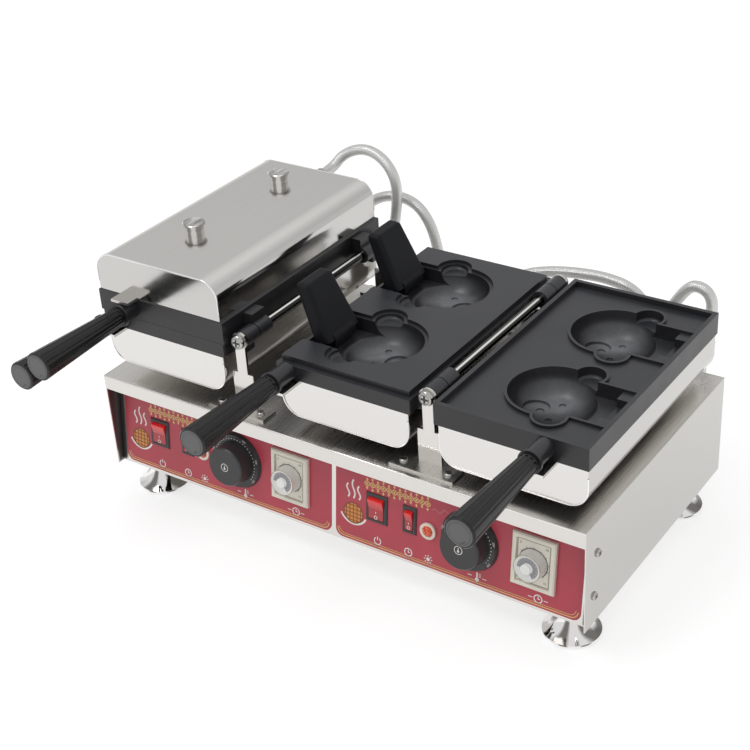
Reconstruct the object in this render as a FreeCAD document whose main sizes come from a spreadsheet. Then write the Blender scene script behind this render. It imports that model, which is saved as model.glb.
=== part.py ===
import FreeCAD, Part
import math
import os
import re
import Sketcher

# Twin hinged mould baker: a steel base with two hinge lines, each carrying a lower and an upper pan.
# Millimetres, +Z up, +Y to the back. The feet stand on z = 0 and x = 0 is halfway across the base.
# A pan is drawn about its own hinge line: x away from the hinge, y = 0 at the pan's front, z = 0 on the line.

os.makedirs("parts", exist_ok=True)
vec = FreeCAD.Vector
doc = FreeCAD.newDocument("MouldBaker")
sheet = doc.addObject("Spreadsheet::Sheet", "Sizes")

sizeRows = [
    # base housing
    ("baseWidth", 600), ("baseDepth", 320), ("boxHeight", 117), ("footHeight", 38), ("sheetWall", 1.2),
    ("frontY", -99.5), ("lipHeight", 17), ("panelTopBack", 22.3), ("panelLean", 7.07), ("panelHeight", 115),
    ("panelReturn", 14), ("endGap", 0.4), ("panelHoleGap", 0.3), ("platePlay", 0.3),
    # printed overlays and the controls of one section
    ("sectionPitch", "=baseWidth/2-6"), ("overlayWidth", "=sectionPitch-6"), ("overlayLow", 4),
    ("overlayHigh", 108), ("overlayThick", 0.6), ("overlayCorner", 9), ("controlHigh", 52),
    ("powerX", -92), ("powerWide", 26), ("powerTall", 33), ("timerSwitchX", -52), ("timerSwitchWide", 16.5),
    ("timerSwitchTall", 31), ("bezelThick", 2), ("bezelRim", 4), ("switchDeep", 22), ("rockerPlay", 0.5),
    ("rockerSink", 3), ("rockerThrow", 18), ("rockerSwell", 6.5), ("rockerPin", 1.5),
    ("bezelBevel", 1.1), ("lampX", -29.5), ("lampHigh", 47), ("lampRing", 9.2), ("lampBore", 6.2),
    ("lampProud", 2.4), ("lampDeep", 12), ("dialX", 18.7), ("skirtRadius", 33), ("skirtThick", 4),
    ("knobRadius", 24), ("knobProud", 22), ("shaftRadius", 3), ("shaftProud", 15), ("shaftFit", 0.05),
    ("thermostatRadius", 18), ("thermostatDeep", 28), ("timerX", 91.7), ("timerHigh", 54), ("timerWide", 48),
    ("timerTall", 59), ("timerThick", 5), ("timerBevel", 1.4), ("timerFrame", 5), ("timerBody", 42),
    ("timerDeep", 48), ("timerKnob", 15.5), ("timerKnobTall", 13), ("knobGap", 0.4),
    # feet
    ("footInset", 33), ("footInsetY", 38), ("footRadius", 30), ("footNeck", 13), ("padThick", 2),
    ("padRadius", 24), ("studRadius", 4), ("studFit", 0.3), ("studTall", 8),
    # hinge lines
    ("axisLeft", 118), ("axisRight", 114), ("axisRise", 79), ("leftGrow", 6), ("rightGrow", 0),
    ("rodRadius", 5), ("rodFit", 0.05), ("bracketInset", 10), ("bracketThick", 3), ("bracketWide", 27),
    ("shoulderRise", 40), ("neckWide", 13), ("headRadius", 9.5),
    ("flangeWide", 74), ("flangeDeep", 22), ("flangeThick", 2.5), ("flangeHoleX", 26), ("screwFit", 0.1),
    ("smallScrew", 2.4), ("smallHead", 4.6), ("smallHeadTall", 2.4), ("smallLength", 9),
    ("hingeScrew", 3), ("hingeHead", 8.4), ("hingeHeadTall", 4.6), ("hingeScrewDeep", 15), ("washer", 9),
    ("washerThick", 1),
    # pans
    ("panInset", 17), ("panDepth", 292), ("rimNear", 12.5), ("rimFar", 179), ("rimWall", 5), ("rimTop", 3),
    ("faceDrop", 3), ("castSkirt", 21.5), ("flangeNear", 14.5), ("flangeFar", 176), ("flangeDrop", 3.3),
    ("plateauNear", 18.5), ("plateauFar", 173), ("plateauInset", 6.5), ("plateauTop", 2.7),
    ("plateauSkirt", 19.5),
    ("trayNearF", 16), ("trayFarF", 178), ("trayDropF", 67), ("trayNearM", 18), ("trayFarM", 172),
    ("trayDropM", 65), ("trayInset", 1.5), ("trayCorner", 22), ("trayWall", 1.2), ("trayBend", 1.6),
    ("knuckleRadius", 9.5), ("knuckleNearM", 14), ("knuckleFarM", 34), ("knuckleNearF", 35),
    ("knuckleFarF", 56), ("armTop", 3.5), ("armDrop", 19),
    # mould cavities
    ("cavityPitch", 132), ("headCentre", 100), ("headMould", 45), ("headDeep", 22.7), ("headRound", 19),
    ("earMould", 15.5), ("earOut", 18), ("earSide", 42.5), ("earDeep", 9), ("earRound", 4),
    ("ridgeWall", 3), ("ridgeTall", 3), ("grooveWall", 4), ("grooveDeep", 3.6), ("bossWall", 5),
    ("bossFloor", 5),
    ("muzzleIn", 19), ("muzzleRadius", 14), ("muzzleDeep", 2.5), ("eyeRadius", 3.6), ("eyeIn", 2),
    ("eyeSide", 15), ("eyeDeep", 1.6), ("noseRadius", 4.5), ("noseIn", 15), ("noseDeep", 1.4),
    ("channelHalf", 33.3), ("channelEnd", 158), ("channelDeep", 13), ("leafHalf", 18.5), ("leafDeep", 9.5),
    ("leafEnd", 170.6),
    # cores
    ("pivotOut", 156), ("pivotDrop", 4.2), ("coreLong", 70), ("coreHalf", 28), ("coreTipHalf", 22),
    ("coreRoot", 10.5), ("coreTip", 8.5), ("coreTipLift", 3), ("coreTipSlant", 7.5), ("coreHeel", 1),
    ("barrelRadius", 11.5),
    ("barrelHalf", 18), ("barrelPlay", 0.6), ("pocketDeep", 11.8), ("pocketOut", 13.5), ("pocketFloor", 4.5),
    ("trunnion", 2.4), ("trunnionReach", 9.5), ("coreLift", 111), ("coreEdge", 5),
    # handles
    ("handleOutF", 134), ("handleDropF", 8), ("handleDropM", 11), ("handleClear", 1.84),
    ("lugRadius", 10.5), ("leftLug", 17), ("rightLug", 27), ("lugGap", 0.6), ("collarRadius", 12.5),
    ("collarThick", 3), ("gripLong", 122), ("gripRoot", 10.5), ("gripEnd", 16), ("gripChamfer", 1.2),
    ("handleOutM", "=handleOutF+sqrt((2*gripEnd+handleClear)^2-(handleDropF+handleDropM)^2)"),
    ("fluteRadius", 2.6), ("fluteSink", 0.7), ("fluteCount", 12), ("fluteStop", 9), ("fluteStart", 4),
    ("tabWide", 24), ("tabShort", 1), ("tabThick", 3),
    # heaters, conduits and fittings
    ("heaterRadius", 4), ("heaterHalf", 32), ("heaterLong", 190), ("heaterGap", 0.3), ("hoseRadius", 6.5),
    ("hoseExit", 22),
    ("glandOutF", 100), ("glandDropF", 54), ("glandOutM", 95), ("glandDropM", 50), ("glandNut", 11),
    ("glandNutThick", 6), ("glandCollar", 8.5), ("glandLong", 14), ("baseGlandDrop", 62),
    ("coverKnobOut", 114), ("coverKnobShift", 18), ("coverKnobSpread", 153), ("coverKnobHead", 12.5),
    ("coverKnobBody", 10.2), ("coverKnobNeck", 9.4), ("coverKnobTall", 13.2), ("coverKnobCap", 2.6),
    ("coverKnobGroove", 1), ("coverKnobBevel", 0.8),
    ("mainsX", 223), ("mainsRadius", 10), ("mainsHigh", 30), ("mainsLong", 6),
    ("stripLong", 120), ("stripDeep", 22), ("stripTall", 18), ("ventWide", 4), ("ventTall", 40),
    ("ventCount", 9),
    ("ventPitch", 12),
]
for row, (alias, value) in enumerate(sizeRows, start=1):
    sheet.set("A%d" % row, alias)
    sheet.set("B%d" % row, str(value))
    sheet.setAlias("B%d" % row, alias)
doc.recompute()
aliases = [alias for alias, value in sizeRows]
nodes = {}


def size(alias):
    return float(getattr(sheet, alias))


def link(text):
    """Expression text with every alias pointed at the sheet."""
    return re.sub(r"[A-Za-z]\w*", lambda word: "Sizes." + word.group() if word.group() in aliases
                  else word.group(), str(text))


def bind(item, values):
    for prop, text in values.items():
        item.setExpression(prop, link(text))
    return item


def put(item, place):
    return bind(item, {"Placement.Base." + axis: text for axis, text in zip("xyz", place)})


def turn(item, axis, degrees):
    item.Placement.Rotation = FreeCAD.Rotation(vec(*axis), degrees)
    return item


def box(name, low, span):
    item = doc.addObject("Part::Box", name)
    return put(bind(item, dict(zip(("Length", "Width", "Height"), span))), low)


def sideBox(name, side, near, far, low, span):
    """Box between two distances from the hinge line, to the right for side 1 and to the left for -1."""
    start = near if side > 0 else "-(%s)" % far
    return box(name, (start, low[0], low[1]), ("(%s)-(%s)" % (far, near), span[0], span[1]))


def rod(name, base, radius, length, axis="z"):
    item = doc.addObject("Part::Cylinder", name)
    if axis == "y":
        turn(item, (1, 0, 0), -90)
    if axis == "x":
        turn(item, (0, 1, 0), 90)
    return put(bind(item, {"Radius": radius, "Height": length}), base)


def fuse(name, shapes):
    item = doc.addObject("Part::MultiFuse", name)
    item.Shapes = shapes
    return item


def cut(name, base, tools):
    tool = tools[0]
    if len(tools) > 1:
        tool = fuse(name + "Tools", tools)
    item = doc.addObject("Part::Cut", name)
    item.Base = base
    item.Tool = tool
    return item


def group(name, shapes):
    item = doc.addObject("Part::Compound", name)
    item.Links = shapes
    return item


def roundEdges(name, base, radius, wanted):
    """Fillet of the base's edges that the test picks."""
    doc.recompute()
    picked = [i + 1 for i, edge in enumerate(base.Shape.Edges) if wanted(edge)]
    item = doc.addObject("Part::Fillet", name)
    item.Base = base
    item.Edges = [(index, radius, radius) for index in picked]
    return item


def keep(label, item):
    item.Label = label
    nodes[label] = item
    return item


def body(name):
    return doc.addObject("PartDesign::Body", name)


def outline(part, name, role, loops, circles=()):
    """Sketch of closed polygons and circles whose points are all bound to the sheet."""
    plane = [item for item in part.Origin.OriginFeatures if item.Role == role][0]
    sketch = part.newObject("Sketcher::SketchObject", name)
    sketch.AttachmentSupport = (plane, [""])
    sketch.MapMode = "FlatFace"
    for number, points in enumerate(loops):
        first = sketch.GeometryCount
        total = len(points)
        angles = [math.tau * i / total for i in range(total)]
        start = [vec(total + number + math.cos(angle), math.sin(angle), 0) for angle in angles]
        for i in range(total):
            sketch.addGeometry(Part.LineSegment(start[i], start[(i + 1) % total]), False)
        for i in range(total):
            sketch.addConstraint(Sketcher.Constraint("Coincident", first + i, 2, first + (i + 1) % total, 1))
            for kind, text in zip(("DistanceX", "DistanceY"), points[i]):
                index = sketch.addConstraint(Sketcher.Constraint(kind, -1, 1, first + i, 1, 1.0))
                sketch.setExpression("Constraints[%d]" % index, link(text))
    for across, along, radius in circles:
        index = sketch.addGeometry(Part.Circle(vec(5, 5, 0), vec(0, 0, 1), 2), False)
        for kind, text in (("DistanceX", across), ("DistanceY", along)):
            number = sketch.addConstraint(Sketcher.Constraint(kind, -1, 1, index, 3, 1.0))
            sketch.setExpression("Constraints[%d]" % number, link(text))
        number = sketch.addConstraint(Sketcher.Constraint("Radius", index, 2.0))
        sketch.setExpression("Constraints[%d]" % number, link(radius))
    return sketch


def rectangle(across, along, wide, tall):
    left, right = "(%s)-(%s)/2" % (across, wide), "(%s)+(%s)/2" % (across, wide)
    low, high = "(%s)-(%s)/2" % (along, tall), "(%s)+(%s)/2" % (along, tall)
    return [(left, low), (right, low), (right, high), (left, high)]


def pad(part, sketch, length, both=False, flip=False):
    item = part.newObject("PartDesign::Pad", sketch.Name + "Pad")
    item.Profile = sketch
    bind(item, {"Length": length})
    item.Midplane = both
    item.Reversed = flip
    return item


def pocket(part, sketch, length, both=False, flip=False):
    item = part.newObject("PartDesign::Pocket", sketch.Name + "Pocket")
    item.Profile = sketch
    bind(item, {"Length": length})
    item.Midplane = both
    item.Reversed = flip
    return item


# ---------------------------------------------------------------- base
topZ = "(footHeight+boxHeight)"
backY = "(frontY+baseDepth)"
axisZ = "(footHeight+boxHeight+axisRise)"
hingeX = {"a": "-axisLeft", "b": "axisRight"}
flangeHoles = []
for station in ("a", "b"):
    for hole in (-1, 1):
        for y in ("frontY+panInset+bracketInset+bracketThick-flangeDeep/2",
                  "frontY+panInset+panDepth-bracketInset-bracketThick+flangeDeep/2"):
            flangeHoles.append(("%s+%d*flangeHoleX" % (hingeX[station], hole), y))


def baseHousing():
    shell = body("housingShell")
    half, inner = "baseWidth/2", "baseWidth/2-sheetWall"
    hoop = [("-" + half, "footHeight"), ("-" + half, topZ), (half, topZ), (half, "footHeight"),
            (inner, "footHeight"), (inner, topZ + "-sheetWall"), ("-(%s)" % inner, topZ + "-sheetWall"),
            ("-(%s)" % inner, "footHeight")]
    pad(shell, outline(shell, "hoop", "XZ_Plane", [hoop]), "baseDepth", flip=True)
    put(shell, ("0", "frontY", "0"))
    lip = box("lip", ("-baseWidth/2", "frontY", topZ + "-lipHeight"), ("baseWidth", "sheetWall", "lipHeight"))
    whole = fuse("housingWhole", [shell, lip])
    holes = [rod("topHole%d" % i, (x, y, topZ + "-sheetWall-1"), "smallScrew+screwFit", "sheetWall+2")
             for i, (x, y) in enumerate(flangeHoles)]
    for side in (-1, 1):
        for high in sideScrewHigh:
            y, z = panelPoint(high, "-panelReturn/2")
            holes.append(rod("sideHole%d_%s" % (side, high), ("%d*baseWidth/2-5" % side, y, z),
                             "smallScrew+screwFit", "10", "x"))
    keep("base_housing", cut("housing", whole, holes))


# The control panel leans back: its own frame has u to the right, v up the plate and w out of its face.
leanSin, leanCos = "sin(panelLean*1deg)", "cos(panelLean*1deg)"
panelY = "frontY+panelTopBack-(boxHeight)*tan(panelLean*1deg)"
sideScrewHigh = ("34", "82")


def panelPoint(v, w):
    """World y and z of a point given up the leaning plate and out of its face."""
    y = "%s+(%s)*%s-(%s)*%s" % (panelY, v, leanSin, w, leanCos)
    z = "footHeight+(%s)*%s+(%s)*%s" % (v, leanCos, w, leanSin)
    return (y, z)


def onPanel(item):
    item.Placement.Rotation = FreeCAD.Rotation(vec(1, 0, 0), 0)
    put(item, ("0", panelY, "footHeight"))
    item.Placement.Rotation = FreeCAD.Rotation(vec(1, 0, 0), 90 - size("panelLean"))
    bind(item, {"Placement.Rotation.Angle": "90-panelLean"})
    return item


def controlHoles(centre, gap):
    """Cut-outs of one section's controls, as rectangles and circles about the section's centre."""
    rects = [rectangle("%s+powerX" % centre, "controlHigh", "powerWide-bezelRim+2*(%s)" % gap,
                       "powerTall-bezelRim+2*(%s)" % gap),
             rectangle("%s+timerSwitchX" % centre, "controlHigh", "timerSwitchWide-bezelRim+2*(%s)" % gap,
                       "timerSwitchTall-bezelRim+2*(%s)" % gap),
             rectangle("%s+timerX" % centre, "timerHigh", "timerBody+2*(%s)" % gap, "timerBody+2*(%s)" % gap)]
    rounds = [("%s+lampX" % centre, "lampHigh", "lampRing-2+%s" % gap),
              ("%s+dialX" % centre, "controlHigh", "shaftRadius+2+%s" % gap)]
    return rects, rounds


def controlPanel():
    plate = body("panelPlate")
    wide = "(baseWidth-2*sheetWall-2*endGap)"
    loops = [[("-%s/2" % wide, "endGap"), ("%s/2" % wide, "endGap"), ("%s/2" % wide, "panelHeight"),
              ("-%s/2" % wide, "panelHeight")]]
    rounds = []
    for centre in ("-sectionPitch/2", "sectionPitch/2"):
        rects, circles = controlHoles(centre, "panelHoleGap")
        loops += rects
        rounds += circles
    pad(plate, outline(plate, "plateFace", "XY_Plane", loops, rounds), "sheetWall", flip=True)
    ends = []
    for side in (-1, 1):
        low = "-%s/2" % wide if side < 0 else "%s/2-sheetWall" % wide
        ends.append(box("panelEnd%d" % side, (low, "endGap", "-panelReturn"),
                        ("sheetWall", "panelHeight-endGap", "panelReturn")))
    holes = [rod("panelEndHole%s" % high, ("-baseWidth/2", high, "-panelReturn/2"), "smallScrew+screwFit",
                 "baseWidth", "x") for high in sideScrewHigh]
    keep("control_panel", onPanel(cut("panel", fuse("panelWhole", [plate] + ends), holes)))


def overlay(label, side):
    film = body(label + "Film")
    rects, circles = controlHoles("0", "panelHoleGap")
    loops = [rectangle("0", "(overlayLow+overlayHigh)/2", "overlayWidth", "overlayHigh-overlayLow")] + rects
    pad(film, outline(film, label + "Face", "XY_Plane", loops, circles), "overlayThick")
    low, half = size("overlayLow"), size("overlayWidth") / 2
    rounded = roundEdges(label + "Round", film, size("overlayCorner"),
                         lambda edge: abs(edge.Length - size("overlayThick")) < 0.01
                         and abs(edge.CenterOfMass.y - low) < 0.01
                         and abs(abs(edge.CenterOfMass.x) - half) < 0.01)
    onPanel(rounded)
    bind(rounded, {"Placement.Base.x": "%d*sectionPitch/2" % side})
    keep(label, rounded)


def bevelled(name, block, width):
    """Block with its outer face's edges bevelled."""
    doc.recompute()
    top = block.Shape.BoundBox.ZMax
    item = doc.addObject("Part::Chamfer", name)
    item.Base = block
    item.Edges = [(i + 1, size(width), size(width)) for i, edge in enumerate(block.Shape.Edges)
                  if edge.BoundBox.ZMin > top - 0.01]
    return item


def switchHousing(name, side, across, wide, tall):
    centre = "%d*sectionPitch/2+%s" % (side, across)
    frame = box(name + "Frame", ("%s-%s/2" % (centre, wide), "controlHigh-%s/2" % tall, "overlayThick"),
                (wide, tall, "bezelThick"))
    bezel = bevelled(name + "Bezel", frame, "bezelBevel")
    can = box(name + "Can", ("%s-(%s-bezelRim)/2" % (centre, wide), "controlHigh-(%s-bezelRim)/2" % tall,
                             "-switchDeep"),
              (wide + "-bezelRim", tall + "-bezelRim", "switchDeep+overlayThick"))
    pivot = "overlayThick+bezelThick-rockerSink"
    left = "%s-(%s-2*bezelRim)/2-rockerPlay" % (centre, wide)
    across = wide + "-2*bezelRim+2*rockerPlay"
    room = "(%s-2*bezelRim)/2+rockerPlay" % tall
    hollow = rod(name + "Room", (left, "controlHigh", pivot), room, across, "x")
    mouth = box(name + "Mouth", (left, "controlHigh-(%s)" % room, pivot),
                (across, "2*(%s)" % room, "rockerSink+1"))
    hull = cut(name + "Hull", fuse(name + "Solid", [bezel, can]), [hollow, mouth])
    pin = rod(name + "Pin", ("%s-(%s-bezelRim)/2" % (centre, wide), "controlHigh", pivot), "rockerPin",
              wide + "-bezelRim", "x")
    return fuse(name + "Whole", [hull, pin])


def rocker(label, side, across, wide, tall):
    """Rocker with round ends about its pin and two faces that meet in a shallow valley."""
    centre = "%d*sectionPitch/2+%s" % (side, across)
    left = "%s-(%s-2*bezelRim)/2" % (centre, wide)
    width = wide + "-2*bezelRim"
    pivot = "overlayThick+bezelThick-rockerSink"
    drum = rod(label + "Drum", (left, "controlHigh", pivot), "(%s-2*bezelRim)/2" % tall, width, "x")
    slab = box(label + "Slab", (left, "controlHigh-%s" % tall, pivot + "-rockerSwell"),
               (width, "2*" + tall, "2*rockerSwell"))
    block = doc.addObject("Part::Common", label + "Block")
    block.Base = drum
    block.Tool = slab
    flush = box(label + "Flush", (left + "-1", "controlHigh-%s" % tall, pivot + "+rockerSink+0.5"),
                (width + "+2", tall, "20"))
    raised = box(label + "Raised", (left + "-1", "controlHigh", pivot + "+rockerSink+0.5"),
                 (width + "+2", tall, "20"))
    turn(raised, (1, 0, 0), size("rockerThrow"))
    bind(raised, {"Placement.Rotation.Angle": "rockerThrow"})
    bore = rod(label + "Bore", (left + "-1", "controlHigh", pivot), "rockerPin+shaftFit", width + "+2", "x")
    keep(label, onPanel(cut(label + "Cut", block, [flush, raised, bore])))


def lamp(name, side):
    centre = "%d*sectionPitch/2+lampX" % side
    ring = rod(name + "Ring", (centre, "lampHigh", "overlayThick"), "lampRing", "lampProud")
    barrel = rod(name + "Barrel", (centre, "lampHigh", "-lampDeep"), "lampRing-2", "lampDeep+overlayThick")
    bore = rod(name + "Bore", (centre, "lampHigh", "-lampDeep-1"), "lampBore", "lampDeep+lampProud+5")
    shell = cut(name + "Shell", fuse(name + "Body", [ring, barrel]), [bore])
    stem = rod(name + "Stem", (centre, "lampHigh", "-lampDeep"), "lampBore", "lampDeep+lampProud")
    dome = doc.addObject("Part::Sphere", name + "Dome")
    put(bind(dome, {"Radius": "lampBore*1.25"}), (centre, "lampHigh", "overlayThick+lampProud-lampBore*0.75"))
    column = rod(name + "Column", (centre, "lampHigh", "-1"), "lampBore", "20")
    cap = doc.addObject("Part::Common", name + "Cap")
    cap.Base = dome
    cap.Tool = column
    return shell, fuse(name + "Lens", [stem, cap])


def thermostat(name, side):
    centre = "%d*sectionPitch/2+dialX" % side
    can = rod(name + "Can", (centre, "controlHigh", "-thermostatDeep-sheetWall"), "thermostatRadius",
              "thermostatDeep")
    shaft = rod(name + "Shaft", (centre, "controlHigh", "-sheetWall-1"), "shaftRadius",
                "shaftProud+sheetWall+1")
    return fuse(name + "Whole", [can, shaft])


def thermostatKnob(label, side):
    """Dial with a wide scale skirt and a tapered cap, bored for the shaft."""
    knob = body(label + "Turned")
    face = outline(knob, label + "Profile", "XZ_Plane",
                   [[("0", "0"), ("skirtRadius", "0"), ("skirtRadius-2", "skirtThick"),
                     ("knobRadius", "skirtThick"), ("knobRadius-1.5", "knobProud-1.5"),
                     ("knobRadius-3", "knobProud"), ("0", "knobProud")]])
    spin = knob.newObject("PartDesign::Revolution", label + "Spin")
    spin.Profile = face
    spin.ReferenceAxis = (face, ["V_Axis"])
    spin.Angle = 360
    boreSketch = outline(knob, label + "Hole", "XY_Plane", [], [("0", "0", "shaftRadius+shaftFit")])
    pocket(knob, boreSketch, "shaftProud-overlayThick-knobGap+0.2", flip=True)
    y, z = panelPoint("controlHigh", "overlayThick+knobGap")
    onPanel(knob)
    put(knob, ("%d*sectionPitch/2+dialX" % side, y, z))
    keep(label, knob)


def timer(name, side):
    centre = "%d*sectionPitch/2+timerX" % side
    block = box(name + "Frame", (centre + "-timerWide/2", "timerHigh-timerTall/2", "overlayThick"),
                ("timerWide", "timerTall", "timerThick"))
    frame = bevelled(name + "Bevel", block, "timerBevel")
    well = box(name + "Well", (centre + "-timerWide/2+timerFrame", "timerHigh-timerTall/2+timerFrame",
                               "overlayThick+timerThick-1.5"),
               ("timerWide-2*timerFrame", "timerTall-2*timerFrame", "5"))
    can = box(name + "Can", (centre + "-timerBody/2", "timerHigh-timerBody/2", "-timerDeep"),
              ("timerBody", "timerBody", "timerDeep+overlayThick"))
    shaft = rod(name + "Shaft", (centre, "timerHigh", "0"), "shaftRadius", "overlayThick+timerThick+8")
    return fuse(name + "Whole", [cut(name + "Face", frame, [well]), can, shaft])


def timerKnob(label, side):
    centre = "%d*sectionPitch/2+timerX" % side
    base = "overlayThick+timerThick-1.5+knobGap"
    cap = doc.addObject("Part::Cone", label + "Cap")
    put(bind(cap, {"Radius1": "timerKnob", "Radius2": "timerKnob-1", "Height": "timerKnobTall"}),
        (centre, "timerHigh", base))
    bore = rod(label + "Bore", (centre, "timerHigh", base + "-1"), "shaftRadius+shaftFit", "10.5")
    keep(label, onPanel(cut(label + "Cut", cap, [bore])))


def controls():
    housings, rings, lenses, thermostats, timers = [], [], [], [], []
    for word, side in (("left", -1), ("right", 1)):
        overlay("overlay_" + word, side)
        power = ("powerX", "powerWide", "powerTall")
        small = ("timerSwitchX", "timerSwitchWide", "timerSwitchTall")
        housings.append(switchHousing(word + "Power", side, *power))
        housings.append(switchHousing(word + "Small", side, *small))
        rocker("power_rocker_" + word, side, *power)
        rocker("timer_rocker_" + word, side, *small)
        ring, lens = lamp(word + "Lamp", side)
        rings.append(ring)
        lenses.append(lens)
        thermostats.append(thermostat(word + "Thermostat", side))
        thermostatKnob("thermostat_knob_" + word, side)
        timers.append(timer(word + "Timer", side))
        timerKnob("timer_knob_" + word, side)
    keep("switch_housings", onPanel(group("switchGroup", housings)))
    keep("lamp_rings", onPanel(group("ringGroup", rings)))
    keep("lamp_lenses", onPanel(group("lensGroup", lenses)))
    keep("thermostats", onPanel(group("thermostatGroup", thermostats)))
    keep("timers", onPanel(group("timerGroup", timers)))


hoseFeet = {"a_upper": "-150", "a_lower": "-82", "b_upper": "194", "b_lower": "252"}


def plates():
    glandZ = topZ + "-baseGlandDrop"
    back = box("backSheet", ("-baseWidth/2+sheetWall+endGap", backY + "-sheetWall",
                             "footHeight+sheetWall+platePlay"),
               ("baseWidth-2*sheetWall-2*endGap", "sheetWall", "boxHeight-2*sheetWall-2*platePlay"))
    holes = [rod("hoseHole_" + key, (x, backY + "-10", glandZ), "glandCollar", "20", "y")
             for key, x in hoseFeet.items()]
    mainsZ = "footHeight+mainsHigh"
    holes.append(rod("mainsHole", ("mainsX", backY + "-10", mainsZ), "mainsRadius", "20", "y"))
    holes += [box("vent%d" % i, ("(%d-(ventCount-1)/2)*ventPitch-ventWide/2+40" % i, backY + "-10",
                                 "footHeight+boxHeight/2-ventTall/2"), ("ventWide", "20", "ventTall"))
              for i in range(int(size("ventCount")))]
    keep("rear_panel", cut("backPlate", back, holes))
    floor = box("floorSheet", ("-baseWidth/2+sheetWall+endGap", "frontY+panelTopBack", "footHeight"),
                ("baseWidth-2*sheetWall-2*endGap", "baseDepth-panelTopBack", "sheetWall"))
    studs = [rod("studHole%d" % i, (x, y, "footHeight-1"), "studRadius+studFit", "5")
             for i, (x, y) in enumerate(footPlaces)]
    keep("bottom_plate", cut("floorPlate", floor, studs))
    strip = box("stripBase", ("-stripLong/2", "frontY+baseDepth/2", "footHeight+sheetWall"),
                ("stripLong", "stripDeep", "stripTall*0.5"))
    towers = [box("stripTower%d" % i, ("-stripLong/2+4+%d*(stripLong-8)/6" % i, "frontY+baseDepth/2+3",
                                       "footHeight+sheetWall+stripTall*0.5-1"),
                  ("(stripLong-8)/6-3", "stripDeep-6", "stripTall*0.5+1")) for i in range(6)]
    keep("terminal_strip", fuse("strip", [strip] + towers))


footPlaces = [("%d*(baseWidth/2-footInset)" % side, y) for side in (-1, 1)
              for y in ("frontY+footInsetY", backY + "-footInsetY")]


def feet():
    """Bell-shaped feet turned from one profile, with a stud through the bottom plate and a rubber pad."""
    low, high, wide = size("padThick"), size("footHeight"), size("footRadius")
    neck, stud = size("footNeck"), size("studRadius")
    flare = Part.Arc(vec(wide, 0, low + 3), vec(neck + 0.3 * (wide - neck), 0, low + 0.4 * (high - low)),
                     vec(neck, 0, high - 6)).toShape()
    walls = Part.makePolygon([vec(neck, 0, high - 6), vec(neck, 0, high), vec(stud, 0, high),
                              vec(stud, 0, high + size("studTall")), vec(0, 0, high + size("studTall")),
                              vec(0, 0, low), vec(wide - 1.5, 0, low), vec(wide, 0, low + 1.2),
                              vec(wide, 0, low + 3)])
    turned = Part.Face(Part.Wire([flare] + walls.Edges)).revolve(vec(0, 0, 0), vec(0, 0, 1), 360)
    bells, pads = [], []
    for i, (x, y) in enumerate(footPlaces):
        bell = doc.addObject("Part::Feature", "footBell%d" % i)
        bell.Shape = turned
        bells.append(put(bell, (x, y, "0")))
        pads.append(rod("footPad%d" % i, (x, y, "0"), "padRadius", "padThick"))
    keep("feet", group("footGroup", bells))
    keep("foot_pads", group("padGroup", pads))


# ---------------------------------------------------------------- hinge lines
def domed(name, cap, tall, outward):
    """Screw head with its outer rim rounded over, as a pan head is."""
    doc.recompute()
    top = max(edge.CenterOfMass.dot(outward) for edge in cap.Shape.Edges if edge.Closed)
    return roundEdges(name, cap, 0.7 * size(tall),
                      lambda edge: edge.Closed and edge.CenterOfMass.dot(outward) > top - 0.01)


def bracket(name, x, end):
    """Upright plate with shoulders and a round head, on a flange screwed down; end 1 is the rear one."""
    face = "frontY+panInset+bracketInset" if end < 0 else "frontY+panInset+panDepth-bracketInset-bracketThick"
    upright = box(name + "Upright", (x + "-bracketWide/2", face, topZ),
                  ("bracketWide", "bracketThick", "shoulderRise"))
    neck = box(name + "Neck", (x + "-neckWide/2", face, topZ), ("neckWide", "bracketThick", "axisRise"))
    head = rod(name + "Head", (x, face, axisZ), "headRadius", "bracketThick", "y")
    low = face + "+bracketThick-flangeDeep" if end < 0 else face
    flange = box(name + "Flange", (x + "-flangeWide/2", low, topZ),
                 ("flangeWide", "flangeDeep", "flangeThick"))
    bores = [rod(name + "Bore", (x, face + "-1", axisZ), "hingeScrew+screwFit", "bracketThick+2", "y")]
    middle = face + "+bracketThick-flangeDeep/2" if end < 0 else face + "+flangeDeep/2"
    bores += [rod(name + "Hole%d" % hole, (x + "+%d*flangeHoleX" % hole, middle, topZ + "-1"),
                  "smallScrew+screwFit", "flangeThick+2") for hole in (-1, 1)]
    return cut(name + "Plate", fuse(name + "Blank", [upright, neck, head, flange]), bores)


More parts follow.
